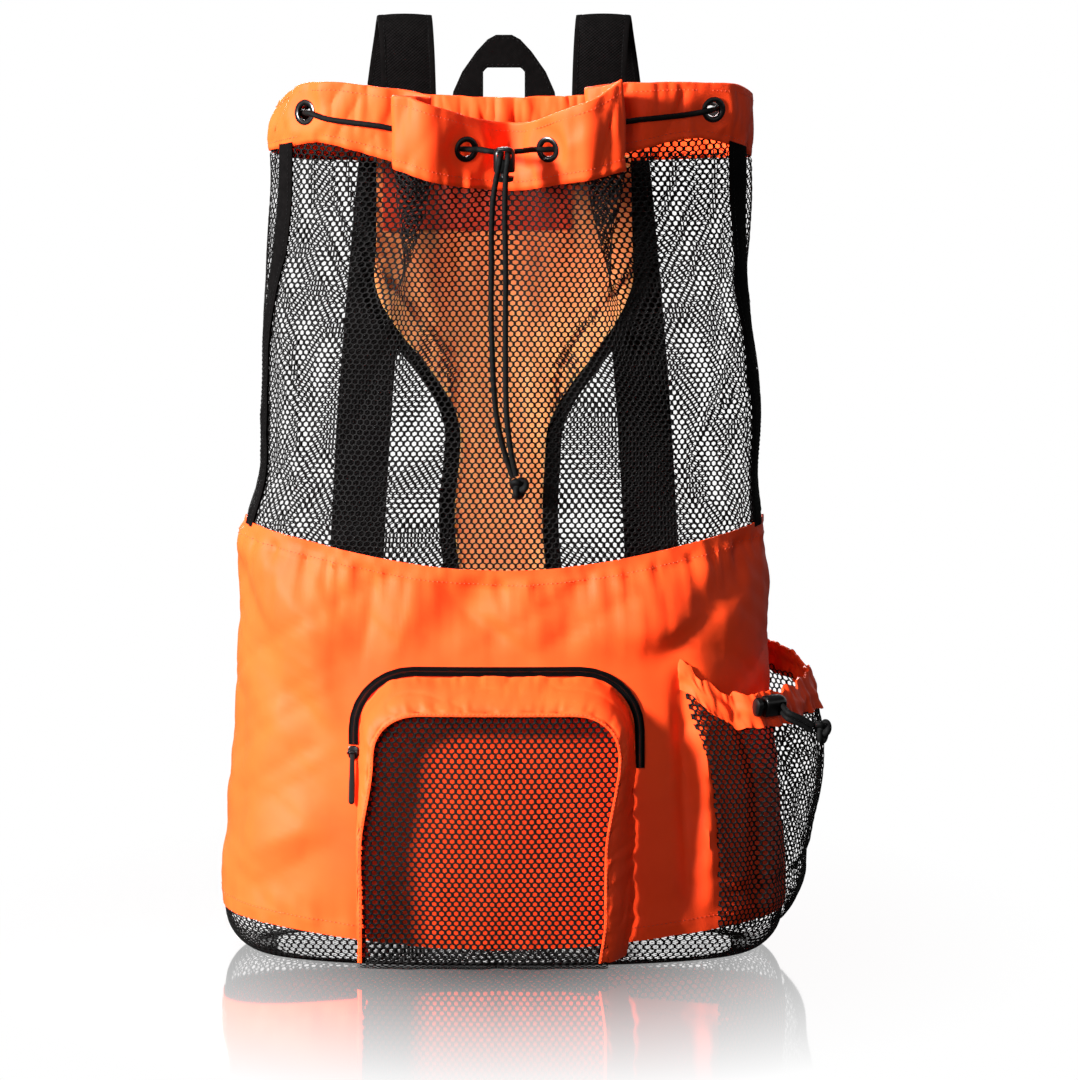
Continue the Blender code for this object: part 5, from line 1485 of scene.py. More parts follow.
def tapes_and_panel():
    """The black tapes over the seams, the orange back panel and the doubled cloth of its yoke."""
    levels = np.linspace(0.0, 1.0, 90)
    heights = WAIST_HEIGHT + (HEM_LEVEL - WAIST_HEIGHT) * levels
    lines = []
    for side, word in ((1, "right"), (-1, "left")):
        half = SIDE_TAPE / 2
        seam = [seam_line(side, -half), seam_line(side, half)]
        edge = [panel_line(side, BINDING_WIDTH + BUTT_GAP), panel_line(side, 0.0)]
        for name, pair, columns in (("side", seam, 9), ("panel", edge, 8)):
            start, end = pair[::-1] if side > 0 else pair
            first = np.array([start(height) for height in heights])
            last = np.array([end(height) for height in heights])
            across = np.linspace(0.0, 1.0, columns)
            share = first[:, None] + (last - first)[:, None] * across
            low, high = waist(share) - TAPE_TUCK, hem(share) + TAPE_TUCK
            height = low + (high - low) * levels[:, None]
            crown = TAPE_STAND + TAPE_CROWN * np.sin(across * math.pi) ** 0.5
            tape = cloth(f"{name}_tape_{word}", on_wall(share, height, crown), TAPE, FINISH["tape"])
            worn(tape, "webbing", f"{name}_binding_{word}")
            for part in TAPE_SEAMS:
                share = first + (last - first) * part
                height = waist(share) + (hem(share) - waist(share)) * levels
                lines.append(wall_line(share, height, TAPE_STAND + TAPE_CROWN))
    thread("tape_thread", lines, "dark")

    left = np.array([panel_line(-1, 0.001)(height) for height in heights]) - 1.0
    right = np.array([panel_line(1, 0.001)(height) for height in heights])
    across = np.linspace(0.0, 1.0, 56)
    share = left[:, None] + (right - left)[:, None] * across
    low, high = waist(share) - PANEL_TUCK, hem(share) + PANEL_TUCK
    height = low + (high - low) * levels[:, None]
    ripple = PANEL_RIPPLE * noise(share * 60 + height * 20, height / 0.05)
    ripple = ripple + PANEL_FINE_RIPPLE * noise(share * 160, height / 0.02)
    ends = hidden(np.minimum(height - waist(share), hem(share) - height), 0.006, 0.25)
    ripple = ripple * (1 - ends) - 0.0002 - PANEL_BEHIND * ends
    panel = cloth("back_panel_cloth", on_wall(share, height, ripple), FABRIC, FINISH["panel"])
    worn(panel, "nylon", "back_panel")
    panel_area(share, height)

    top = HEM_LEVEL - PATCH_DROP
    height = np.linspace(top - PATCH_HEIGHT, top, 24)[:, None] + np.zeros(48)
    across = np.linspace(-PATCH_WIDTH / 2, PATCH_WIDTH / 2, 48) - PATCH_OFF_CENTRE
    share = np.array([[back_share(x, level) for x in across] for level in height[:, 0]])
    ripple = PATCH_RIPPLE * noise(share * 130, height / 0.015)
    # The doubled cloth at the yoke wears the darker finish, which is painted shade.
    patch = cloth("yoke_lining", on_wall(share, height, ripple - FABRIC - 2 * LAY_GAP), FABRIC,
                  FINISH["lining_shade"])
    worn(patch, "nylon", "yoke_patch")


def panel_area(share, height):
    """The back panel's own area, narrow below and wide at its yoke."""
    widths = (share[:, -1] - share[:, 0]) * GIRTH
    return float(np.sum((widths[1:] + widths[:-1]) / 2 * np.diff(height[:, 0])))


def wall_line(share, height, out):
    """Points along the wall and the directions out of it there."""
    share, height = np.broadcast_arrays(share, height)
    points = on_wall(share, height, out)
    outward = wall(share, height, 0.002) - wall(share, height, 0.0)
    return points, unit(outward)


NEAR = 0.0004


def along_lines(lines, pitch, template, faces):
    """Copies of a small shape along lines. Its points are (along, across, out) of each line."""
    template = np.asarray(template, float)
    points, corners, made = [], [], 0
    for line, outward in lines:
        run = lengths(line)
        at = np.arange(pitch / 2, run[-1], pitch)
        place, up = read_line(line, run, at), read_line(outward, run, at)
        along = unit(read_line(line, run, at + NEAR) - read_line(line, run, at - NEAR))
        up = unit(up - along * (up * along).sum(axis=1, keepdims=True))
        across = np.cross(up, along)
        shape = template[None, :, 0:1] * along[:, None] + template[None, :, 1:2] * across[:, None]
        shape = shape + template[None, :, 2:3] * up[:, None] + place[:, None]
        points.append(shape.reshape(-1, 3))
        step = np.arange(len(at))[:, None, None] * len(template) + made
        corners.append((step + np.asarray(faces)[None]).reshape(-1, len(faces[0])))
        made += len(at) * len(template)
    return np.concatenate(points), np.concatenate(corners)


# Stitch length and pitch
STITCH = (0.0024, 0.0032)
SHORT_STITCH = (0.0022, 0.0030)
LONG_STITCH = (0.0026, 0.0036)
THREAD = 0.00028


def thread(name, lines, colour, length=STITCH[0], pitch=STITCH[1], thick=THREAD):
    """Rows of stitches, each a slim spindle lying along its seam."""
    half = length / 2
    shape = [(-half, 0, 0), (half, 0, 0), (0, thick, 0), (0, 0, thick), (0, -thick, 0), (0, 0, -thick)]
    faces = [(0, 3, 2), (0, 4, 3), (0, 5, 4), (0, 2, 5), (1, 2, 3), (1, 3, 4), (1, 4, 5), (1, 5, 2)]
    points, corners = along_lines(lines, pitch, shape, faces)
    piece = mesh_piece(name, points, [corners], FINISH[colour])
    return worn(piece, "webbing" if colour == "dark" else "nylon")


HEM_BAND = 0.011
HEM_DOUBLED, HEM_EDGE = 0.0006, 0.0015
BODY_COLUMNS = 344
SEAM_POINTS = 1500


def lower_body():
    """The orange cloth round the lower half, with its turned hems and their thread."""
    share = np.linspace(0.0, 1.0, BODY_COLUMNS + 1)[:-1]
    level = np.concatenate([np.linspace(0.0, 0.055, 6)[:-1], np.linspace(0.055, 0.945, 54)[:-1],
                            np.linspace(0.945, 1.0, 7)])[:, None]
    low, high = base_hem(share) - 0.001, waist(share)
    height = low + (high - low) * level
    edge = np.minimum(high - height, height - low)
    doubled = HEM_DOUBLED * (1 - smooth((edge - HEM_BAND) / HEM_EDGE))
    out = doubled + crumple(share, height) + 0.0002
    body = cloth("lower_cloth", on_wall(share, height, out), FABRIC, FINISH["nylon"], around=True)
    worn(body, "nylon", "lower_body")
    share = np.linspace(0.0, 1.0, SEAM_POINTS)
    seams = (waist(share) - HEM_BAND + 0.001, base_hem(share) + HEM_BAND - 0.002)
    lines = [wall_line(share, height, 0.0009 + crumple(share, height)) for height in seams]
    thread("hem_thread", lines, "thread")


BOTTOM_LAP, BOTTOM_TUCK, BOTTOM_LEVEL = 0.008, 0.006, 0.0012


def base_netting():
    """The net under the bag and its turn-up behind the lower hem."""
    inward, tuck = BOTTOM_LAP, BOTTOM_TUCK

    def place(u, v, out):
        share = np.asarray(u / GIRTH)
        radius = base_round(share)
        turn = np.clip((v - inward) / radius, 0.0, math.pi / 2)
        rise = np.maximum(v - inward - radius * math.pi / 2, 0.0)
        flat = np.maximum(inward - v, 0.0)
        height = radius * (1 - np.cos(turn)) + rise
        inset = radius * (1 - np.sin(turn)) + flat
        lift = NET / 2 - out
        behind = smooth((height - base_hem(share)) / 0.004 + 0.75)
        wave = wrinkles(share, height) * smooth(turn)
        points = wall(share, height, wave - inset - lift * np.sin(turn) - NET_TUCK * behind)
        points[..., 2] += lift * np.cos(turn)
        return points

    def inside(u, v):
        height = v - inward - base_round(u / GIRTH) * (math.pi / 2 - 1)
        return height < base_hem(u / GIRTH) + tuck

    top = inward + BASE_CORNER * (math.pi / 2 - 1) + BASE_HEM_HEIGHT + tuck
    side = netting("base_netting", place, (0.0, GIRTH), (0.0, top), inside)
    worn(side, "net", "base_net")

    around = np.linspace(0.0, 1.0, 361)
    outline = wall(around, 0.0, -base_round(around) - inward / 2)[:, :2]
    angles = np.arctan2(outline[:, 1], outline[:, 0])
    order = np.argsort(angles)
    reach = np.hypot(outline[:, 0], outline[:, 1])[order]
    angles = angles[order]

    def under(u, v):
        return np.hypot(u, v) < np.interp(np.arctan2(v, u), angles, reach, period=2 * math.pi)

    def flat_place(u, v, out):
        return np.stack([u, v, BOTTOM_LEVEL - out + 0 * u], axis=-1)

    wide, deep = BODY_WIDTH / 2, BODY_DEPTH * 0.55
    floor_net = netting("bottom_netting", flat_place, (-wide, wide), (-deep, deep), under, FLAT_STRAND)
    worn(floor_net, "net")


GROMMET_FRAMES = grommet_frames()


COLLAR_SEAM, COLLAR_TOP_SEAM = 0.14, 0.90
COLLAR_FULLNESS = 1.1
COLLAR_GATHER, COLLAR_FACET = 0.0014, 0.0030
COLLAR_PUFF, COLLAR_PUFF_CHANGE = 0.0013, 0.0007
FLAP_EASE = 0.015


def clamp_share(points):
    """How firmly the grommets hold the cloth at some points: 1 next to one, 0 away from them."""
    held = np.zeros(points.shape[:-1])
    for _, _, place, _, _ in GROMMET_FRAMES:
        away = np.linalg.norm(points - np.array(place), axis=-1)
        held = np.maximum(held, 1 - smooth((away - 1.15 * GROMMET_RADIUS) / GROMMET_RADIUS))
    return held


def collar_waves(share, level):
    """The collar's gathers and the facets between them. Level runs from its hem to its rim."""
    gathers = noise(share * 100, level * 1.3 + 2, 100) + 0.6 * noise(share * 240, level * 2 + 9, 240)
    facets = creased(share * 46 + level * 0.9, level * 1.1 + share * 20, 46) - 0.7
    start, end = COLLAR_SHARES[12], COLLAR_SHARES[17]
    place = np.mod(share, 1.0)
    flap = smooth((place - start) / FLAP_EASE) * smooth((end - place) / FLAP_EASE)
    height = collar_height(share, level)
    folds = flap * folded(plain_wall(share, height)[..., 0], height, COLLAR_FOLDS)
    folds = np.where(folds < 0, folds * smooth((level - 0.12) / 0.35), folds)
    gathers = gathers * (0.35 + 0.65 * np.sin(level * math.pi * 0.85)) * (1 - 0.75 * flap)
    return COLLAR_GATHER * gathers + COLLAR_FACET * facets * (1 - 0.7 * flap) + folds


def collar():
    """The doubled orange channel at the mouth: two layers, sewn below and folded over at the rim."""
    columns, rows, arc = 720, 15, 5
    share = np.linspace(0.0, 1.0, columns + 1)[:-1]
    level = np.linspace(0.0, 1.0, rows)[:, None]
    height = collar_height(share, level)
    body = np.sin(level * math.pi * 0.85)
    out = collar_waves(share, level)
    middle = clamped(on_wall(share, height, out), GROMMET_FRAMES)
    held = clamp_share(middle)
    puff = COLLAR_PUFF + COLLAR_PUFF_CHANGE * noise(share * 70, level * 2, 70)
    seam = 1 - smooth(np.abs(level - COLLAR_SEAM) / 0.07)
    half = 0.0008 + puff * body * (1 - held) * (1 - 0.8 * seam)
    half = np.broadcast_to(half, middle.shape[:2])
    normals = grid_normals(middle, around=True)
    up = unit(middle[-1] - middle[-2])
    section = list(middle + normals * half[..., None])
    for turn in np.linspace(0.0, math.pi, arc + 2)[1:-1]:
        lift = normals[-1] * math.cos(turn) + up * math.sin(turn)
        section.append(middle[-1] + lift * half[-1][:, None])
    section += list((middle - normals * half[..., None])[::-1])
    section = np.array(section)
    high = len(section)
    u = np.linspace(0.0, 1.0, columns + 1) * GIRTH * COLLAR_FULLNESS
    v = np.concatenate([lengths(section[:, 0]), [0.1]])
    r, c = steps_of(high, columns)
    grid = around_face(r, c)
    corners = np.stack([(r % high) * columns + c % columns for r, c in grid], axis=1)
    uv = map_places(u, v, [(c, r) for r, c in grid])
    ring = mesh_piece("collar_cloth", section, [corners], FINISH["nylon"], uv)
    shape = bmesh.new()
    for _, _, place, outward, _ in GROMMET_FRAMES:
        bmesh.ops.create_cone(shape, cap_ends=True, segments=32, radius1=GROMMET_BARREL + SEAM_GAP,
                              radius2=GROMMET_BARREL + SEAM_GAP, depth=0.012, matrix=facing(place, outward))
    ring = carved(ring, shape_object("holes", shape))
    worn(ring, "nylon", "collar")
    share = np.linspace(0.0, 1.0, 2400)
    seams = ((COLLAR_SEAM, 0.0), (COLLAR_TOP_SEAM, 0.0008))
    lines = [
        wall_line(share, collar_height(share, level), collar_waves(share, level) + 0.0012 + more)
        for level, more in seams
    ]
    thread("collar_thread", lines, "thread")


def carved(obj, cutter):
    """The piece with the cutter's shape taken out of it."""
    take = obj.modifiers.new("holes", "BOOLEAN")
    take.operation = "DIFFERENCE"
    take.object = cutter
    bpy.context.view_layer.update()
    graph = bpy.context.evaluated_depsgraph_get()
    mesh = bpy.data.meshes.new_from_object(obj.evaluated_get(graph))
    obj.modifiers.clear()
    old = obj.data
    obj.data = mesh
    bpy.data.meshes.remove(old)
    bpy.data.objects.remove(cutter)
    return obj


def placed(points, matrix):
    """Points moved and turned by a matrix."""
    return points.reshape(-1, 3) @ np.array(matrix.to_3x3()).T + np.array(matrix.translation)


def turned(name, profile, sides, finish, matrix):
    """A ring turned about its own Z from a closed profile of radii and heights, then placed."""
    turn = circle(sides)
    rows = np.array([
        np.stack([radius * np.cos(turn), radius * np.sin(turn), 0 * turn + height], axis=1)
        for radius, height in profile
    ])
    faces = ring_faces(len(profile), sides, closed=True)
    return mesh_piece(name, placed(rows, matrix), [faces], finish, crease=45)


def eyelets():
    """The eyelets: a domed flange on each side of the cloth."""
    cloth_face, half = FABRIC / 2 + SEAM_GAP, GROMMET_THICK / 2
    turn = np.linspace(0.0, math.pi, 9)
    radius = GROMMET_HOLE + (GROMMET_RADIUS - GROMMET_HOLE) * (1 - np.cos(turn)) / 2
    top = np.where(turn < math.pi / 2, 0.0, cloth_face)
    top = top + (half - top) * np.sin(turn) ** 0.6
    profile = list(zip(radius, top))
    profile += [(GROMMET_BARREL, cloth_face), (GROMMET_BARREL, -cloth_face)]
    profile += [(r, -z) for r, z in profile[8:0:-1]]
    for number, (_, _, place, outward, _) in enumerate(GROMMET_FRAMES, 1):
        ring = turned(f"eyelet_{number}", profile[::-1], 40, FINISH["metal"], facing(place, outward))
        worn(ring, "grommet", f"grommet_{number}")


def lock_sections(width, depth, rows):
    """Rounded sections of a cord lock: each row is height, share of the size, and squareness."""
    turn = circle(40)
    rings = []
    for height, size, square in rows:
        x = signed_power(np.cos(turn), 2 / square) * width / 2 * size
        y = signed_power(np.sin(turn), 2 / square) * depth / 2 * size
        rings.append(np.stack([x, y, 0 * turn + height], axis=1))
    return np.array(rings)


def lofted(name, rings, finish, matrix, crease=40):
    """A closed solid through rings of points, placed by a matrix."""
    high, wide = rings.shape[:2]
    faces = [ring_faces(high, wide), *end_caps(high, wide)]
    return mesh_piece(name, placed(rings, matrix), faces, finish, crease=crease)


def toggle(name, matrix):
    """A cord lock: a domed barrel with a window for its cords, and the button under it."""
    foot, top = -LOCK_HEIGHT / 2, LOCK_HEIGHT / 2
    rows = [(foot, 0.90, 3.0), (foot + 0.0004, 0.97, 3.0), (foot + 0.0012, 1.0, 3.0),
            (top - 0.0052, 1.0, 3.0), (top - 0.0036, 0.975, 2.8), (top - 0.0022, 0.90, 2.6),
            (top - 0.0011, 0.76, 2.4), (top - 0.0004, 0.56, 2.2), (top, 0.28, 2.0)]
    body = lofted(f"{name}_barrel", lock_sections(LOCK_WIDTH, LOCK_DEPTH, rows), FINISH["plastic"], matrix)
    shape = bmesh.new()
    size = Matrix.Diagonal((LOCK_WINDOW_WIDTH, 2 * LOCK_DEPTH, LOCK_WINDOW_HEIGHT, 1.0))
    window = matrix @ Matrix.Translation((0, 0, LOCK_WINDOW_RISE)) @ size
    bmesh.ops.create_cube(shape, size=1.0, matrix=window)
    bmesh.ops.bevel(shape, geom=shape.edges[:], offset=0.0012, segments=3, affect="EDGES", profile=0.5)
    worn(carved(body, shape_object("window", shape)), "plastic", f"{name}_body")
    lift = foot - BUTTON_TRAVEL - SEAM_GAP
    low = lift - BUTTON_CAP
    cap = 1 - 2 * BUTTON_INSET / LOCK_WIDTH
    rows = [(low, 0.30, 2.2), (low + 0.0003, 0.62, 2.4), (low + 0.0010, 0.85, 2.6),
            (low + 0.0020, 0.97 * cap, 2.8), (low + 0.0030, cap, 3.0), (lift - 0.0004, cap, 3.0),
            (lift, 0.90, 3.0), (lift + 0.0001, 0.40, 2.0), (foot + 0.0010, 0.38, 2.0)]
    rings = lock_sections(LOCK_WIDTH, LOCK_DEPTH, rows)
    rings[-2:, :, 1] *= LOCK_WIDTH / LOCK_DEPTH
    button = lofted(f"{name}_press", rings, FINISH["plastic"], matrix)
    worn(button, "plastic", f"{name}_button", body=f"{name}_button")


def knotted(name, place, size, node_name):
    """A tight overhand knot of the cord, within a rounded outline of this half size."""
    turn = circle(90)
    loop = np.stack([np.sin(turn) + 2 * np.sin(2 * turn), -np.sin(3 * turn),
                     np.cos(turn) - 2 * np.cos(2 * turn)], axis=1) / (2.65, 1.0, 2.9)
    radius = CORD_DIAMETER * 0.56
    loop = loop * (np.array(size) - radius)
    closed = np.vstack([loop[-3:], loop, loop[:3]])
    _, side, up = path_frames(closed)
    side, up = side[3:-3], up[3:-3]
    points = loop[:, None] + rounds(circle(12), side, up) * radius + np.array(place)
    knot = mesh_piece(name, points, [ring_faces(*points.shape[:2], closed=True)], FINISH["braid"])
    skin = knot.modifiers.new("skin", "REMESH")
    skin.mode = "VOXEL"
    skin.voxel_size = 0.0005
    skin.use_smooth_shade = True
    return worn(knot, "cord", node_name)


def free_ends(name, knot, ways):
    """Two free cord ends. The knot is not used. Each way is its end's exit and its points; the exit is not
    used.
    """
    for word, (way_out, points), on_it in zip(("left", "right"), ways, ([knot], [])):
        cord, path = braided(f"{name}_cord_{word}", smooth_line(points), CORD_DIAMETER, FINISH["braid"])
        tail = "cord" if name == "hanging" else name
        worn(cord, "cord", f"{tail}_tail_{word}")
        tuple(way_out)
        lengths(path)[-1]
        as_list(on_it)


def cords():
    """The free cords first: the collar's two hanging ends and the side pocket's two ends."""
    matrix = lock_matrix(LOCK_PLACE, (0, 0, -1), (0, -1, 0))
    knot = knotted("hanging_knot", KNOT_PLACE, KNOT_SIZE, "cord_knot")
    ways = []
    for ends, hang in zip(lock_window(matrix), (TAIL_LEFT, TAIL_RIGHT)):
        start = ends[0] - Vector((0, SEAM_GAP, 0))
        ways.append((ends[1], [start, (start + ends[1]) / 2, ends[1], *(Vector(point) for point in hang)]))
    free_ends("hanging", knot, ways)
    route = drawcord_route(GROMMET_FRAMES, matrix)
    held, _ = braided("channel_cord", route, CORD_DIAMETER, FINISH["braid"], step=0.0011)
    worn(held, "cord", "drawcord")
    toggle("cord_lock", matrix)

    matrix = pocket_lock_matrix()
    knot = knotted("pocket_end_knot", matrix.translation + Vector(POCKET_KNOT), POCKET_KNOT_SIZE,
                   "pocket_knot")
    ways = []
    for ends, shift in zip(lock_window(matrix), (-0.5, 0.5)):
        back = (ends[0] - ends[1]).normalized() * (POCKET_CORD_START - 4 * CORD_GAP)
        side = (matrix.to_3x3() @ Vector((1, 0, 0))) * shift * (CORD_DIAMETER + CORD_GAP)
        hang = [matrix.translation + Vector(step) + side for step in POCKET_TAIL]
        ways.append((ends[1], [ends[0] + back, (ends[0] + ends[1]) / 2, ends[1], *hang]))
    free_ends("pocket", knot, ways)
    toggle("pocket_lock", matrix)


# The front pocket
FRONT_HEIGHTS = np.linspace(0.0, 0.26, 27)
FRONT_ACROSS = np.linspace(-0.15, 0.15, 121)
FRONT_SHARES = np.linspace(0.27, 0.73, 900)
FRONT_TABLE = np.array([
    np.interp(-FRONT_ACROSS, -plain_wall(FRONT_SHARES, height)[:, 0], FRONT_SHARES)
    for height in FRONT_HEIGHTS
])


def front_place(x, height, out=0.0):
    """Places on the bag's front by distance from the pocket's middle and height, moved out."""
    x, height = np.broadcast_arrays(np.asarray(x, float), np.asarray(height, float))
    column = (x - POCKET_OFF_CENTRE - FRONT_ACROSS[0]) / (FRONT_ACROSS[1] - FRONT_ACROSS[0])
    row = height / (FRONT_HEIGHTS[1] - FRONT_HEIGHTS[0])
    column = np.clip(column, 0, len(FRONT_ACROSS) - 1.001)
    row = np.clip(row, 0, len(FRONT_HEIGHTS) - 1.001)
    j, i = column.astype(int), row.astype(int)
    part_j, part_i = column - j, row - i
    low = FRONT_TABLE[i, j] * (1 - part_j) + FRONT_TABLE[i, j + 1] * part_j
    high = FRONT_TABLE[i + 1, j] * (1 - part_j) + FRONT_TABLE[i + 1, j + 1] * part_j
    return wall(low * (1 - part_i) + high * part_i, height, out)


def front_line(line, out, step=0.0005):
    """Points along a line on the bag's front, moved out, and the directions out of it there."""
    points = front_place(line[:, 0], line[:, 1], out)
    ahead = front_place(line[:, 0], line[:, 1], out + step) - points
    return points, unit(ahead)


CORNER_SAMPLES = 30


def line_at(outline, count):
    """An outline again, rounded at its corners, as this many points."""
    run = lengths(outline)
    fine = np.linspace(0.0, run[-1], 2000)
    line = read_line(outline, run, fine)
    kernel = np.hanning(2 * CORNER_SAMPLES + 1)
    kernel /= kernel.sum()
    padded = np.vstack([line[:1]] * CORNER_SAMPLES + [line] + [line[-1:]] * CORNER_SAMPLES)
    soft = np.stack([np.convolve(column, kernel, "valid") for column in padded.T], axis=1)
    run = lengths(soft)
    return read_line(soft, run, np.linspace(0.0, run[-1], count))


GUSSET_LIP = 0.0030
GUSSET_THICK = 0.0009
GUSSET_GATHER, GUSSET_SIDE, GUSSET_SWELL = 0.0017, 0.0010, 0.0030
GUSSET_LEVELS = 29
LIP_ROUND = 0.0018
NET_SHIFT = 0.0085
SHIFT_LOW, SHIFT_RISE = 0.085, 0.070
FOOT_DRAW, FOOT_RISE = 0.007, 0.040


def net_seam(count):
    """The seam round the pocket's net, which hangs over to the left below its top corners."""
    line = line_at(pocket_outlines()[1], count)
    line[:, 0] -= NET_SHIFT * (1 - smooth((line[:, 1] - SHIFT_LOW) / SHIFT_RISE))
    return line


def cloth_seam(count):
    """The seam round the pocket's cloth side, drawn in at its foot."""
    line = line_at(pocket_outlines()[0], count)
    line[:, 0] -= np.sign(line[:, 0]) * FOOT_DRAW * (1 - smooth((line[:, 1] - POCKET_FOOT) / FOOT_RISE))
    return line


def gusset():
    """The pocket's cloth side: gathered into the zip's seam and turned over the net's edge."""
    columns = 360
    outer, inner = cloth_seam(columns), net_seam(columns)
    inner[:, 0] -= np.where(inner[:, 0] < 0, 0.0, 0.6) * FOOT_DRAW * (1 - smooth(inner[:, 1] / FOOT_RISE))
    face = POCKET_DEPTH + 0.0004
    steps = [(0.00, LAY_GAP + FABRIC + 0.0004), (0.05, LAY_GAP + FABRIC + 0.0010), (0.14, face * 0.22),
             (0.25, face * 0.38), (0.37, face * 0.53), (0.50, face * 0.66), (0.63, face * 0.78),
             (0.75, face * 0.87), (0.86, face * 0.94), (0.94, face * 0.98), (1.00, face)]
    knots = np.arange(len(steps))
    at = np.linspace(0, len(steps) - 1, GUSSET_LEVELS)
    across = spline(knots, [step[0] for step in steps], at)
    stand = spline(knots, [step[1] for step in steps], at)
    run = lengths(outer)
    gathers = noise(run[None] / 0.0075, across[:, None] * 1.6 + 3)
    gathers = gathers + 0.55 * noise(run[None] / 0.0034, across[:, None] * 2.6)
    both = np.exp(-across / 0.22)[:, None] + 0.8 * np.exp(-(1 - across) / 0.20)[:, None]
    swell = creased(run[None] / 0.030, across[:, None] * 1.5 + 9) * np.sin(across * math.pi)[:, None]
    free = np.sin(np.clip(across * 9, 0, 1) * math.pi / 2)[:, None]
    out = stand[:, None] + GUSSET_GATHER * gathers * both * free
    out = out + GUSSET_SWELL * swell
    place = outer[None] * (1 - across[:, None, None]) + inner[None] * across[:, None, None]
    side = GUSSET_SIDE * gathers * both
    place = place + normal_2d(outer)[None] * side[..., None]
    rows = front_place(place[..., 0], place[..., 1], out)
    lip = []
    for part in (0.35, 0.7, 1.0):
        turned_in = inner - normal_2d(inner) * GUSSET_LIP * part
        ripple = 0.0003 * noise(run / 0.004, part)
        lip.append(front_place(turned_in[:, 0], turned_in[:, 1],
                               face + LIP_ROUND * math.sin(part * 2.2) + ripple))
    rows = np.concatenate([rows, lip])
    piece = cloth("pocket_gusset", rows, GUSSET_THICK, FINISH["nylon"])
    worn(piece, "nylon", "front_pocket_gusset")
    turned_in = inner - normal_2d(inner) * GUSSET_LIP * 0.5
    seam = front_line(turned_in, face + LIP_ROUND)
    thread("pocket_thread", [seam], "thread", *SHORT_STITCH)


def normal_2d(line):
    """Directions out of an outline that runs up, over and down."""
    run = unit(np.gradient(line, axis=0))
    return np.stack([-run[:, 1], run[:, 0]], axis=1)


FOOT_RUN = 0.030
POCKET_WAVE, POCKET_PLEAT = 0.0012, 0.0016
NET_EDGE = 0.012


def pocket_netting():
    """The net over the front pocket, drawn in at its foot."""
    seam = net_seam(400)
    left, right = seam[:200], seam[:199:-1]
    half, top = POCKET_WIDTH / 2 - GUSSET_INSET, float(left[-1, 1])

    def levels(v):
        turn = np.clip(v / FOOT_RUN, 0, 1) * math.pi / 2
        height = POCKET_FOOT + POCKET_TUCK * (1 - np.cos(turn)) + np.maximum(v - FOOT_RUN, 0)
        return turn, height

    def sides(height):
        return np.interp(height, left[:, 1], left[:, 0]), np.interp(height, right[:, 1], right[:, 0])

    def seam_away(x, height):
        first, last = sides(height)
        return np.minimum(x - first, last - x)

    def place(u, v, out):
        turn, height = levels(v)
        height = np.minimum(height, top)
        x = np.clip(-u, *sides(height))
        stand = LAY_GAP + (POCKET_DEPTH - LAY_GAP) * np.sin(turn)
        bulge = POCKET_DEPTH * POCKET_BULGE * np.cos(np.clip(x / half, -1, 1) * math.pi / 2) ** 2
        bulge = bulge * np.sin(np.clip(height / top, 0, 1) * math.pi) ** 2
        waves = POCKET_WAVE * noise(x / 0.020, height / 0.03)
        waves = waves + POCKET_WAVE * noise(x / 0.009, 4.0) * np.cos(turn)
        free = smooth(np.minimum(seam_away(x, height), top - height) / NET_EDGE)
        waves = waves * free
        pleats = POCKET_PLEAT * noise(x / 0.010, height / 0.05 + 7)
        pleats = pleats * np.exp(-np.maximum(height - 0.02, 0) / 0.02) * free
        return front_place(x, height, stand + bulge + waves + pleats - NET / 2 + out)

    def inside(u, v):
        _, height = levels(v)
        return (height < top + 0.0006) & (seam_away(-u, height) > -0.0006)

    net = netting("pocket_netting", place, (-half - 0.001, half + NET_SHIFT + 0.001),
                  (0.0, FOOT_RUN + top - POCKET_FOOT - POCKET_TUCK + 0.003), inside, open_part=0.88)
    worn(net, "net", "front_pocket_net")


TOOTH_PITCH = 0.00135


def ribbon(name, first, last, finish, half_thick, across=9):
    """A strap between two lines of points. Half thick gives its half thickness across, 0 to 1."""
    first, last = np.asarray(first, float), np.asarray(last, float)
    middle = (first + last) / 2
    along = np.gradient(middle, axis=0)
    way = last - first
    out = unit(np.cross(along, way))
    t = (1 - np.cos(np.linspace(0.0, math.pi, across))) / 2
    thick = np.asarray([half_thick(part) for part in t])
    sheet = first[:, None] * (1 - t)[None, :, None] + last[:, None] * t[None, :, None]
    front = sheet + out[:, None] * thick[None, :, None]
    back = sheet - out[:, None] * thick[None, :, None]
    rows = np.concatenate([front, back[:, ::-1]], axis=1)
    high, wide = rows.shape[:2]
    r, c = steps_of(high - 1, wide)
    grid = around_face(r, c)
    corners = np.stack([i * wide + j % wide for i, j in grid], axis=1)
    run = lengths(middle)
    width = np.linalg.norm(way, axis=1).mean()
    place = np.concatenate([t, 2 - t[::-1], [2.0]]) * width
    uv = map_places(run, place, grid)
    caps = [np.arange(wide)[None], ((high - 1) * wide + np.arange(wide)[::-1])[None]]
    ends = [np.tile(np.array([[run[0], 0.0]]), (wide, 1)), np.tile(np.array([[run[-1], 0.0]]), (wide, 1))]
    uv = np.concatenate([uv.reshape(-1, 2), *ends])
    return mesh_piece(name, rows, [corners, *caps], finish, uv, crease=50)


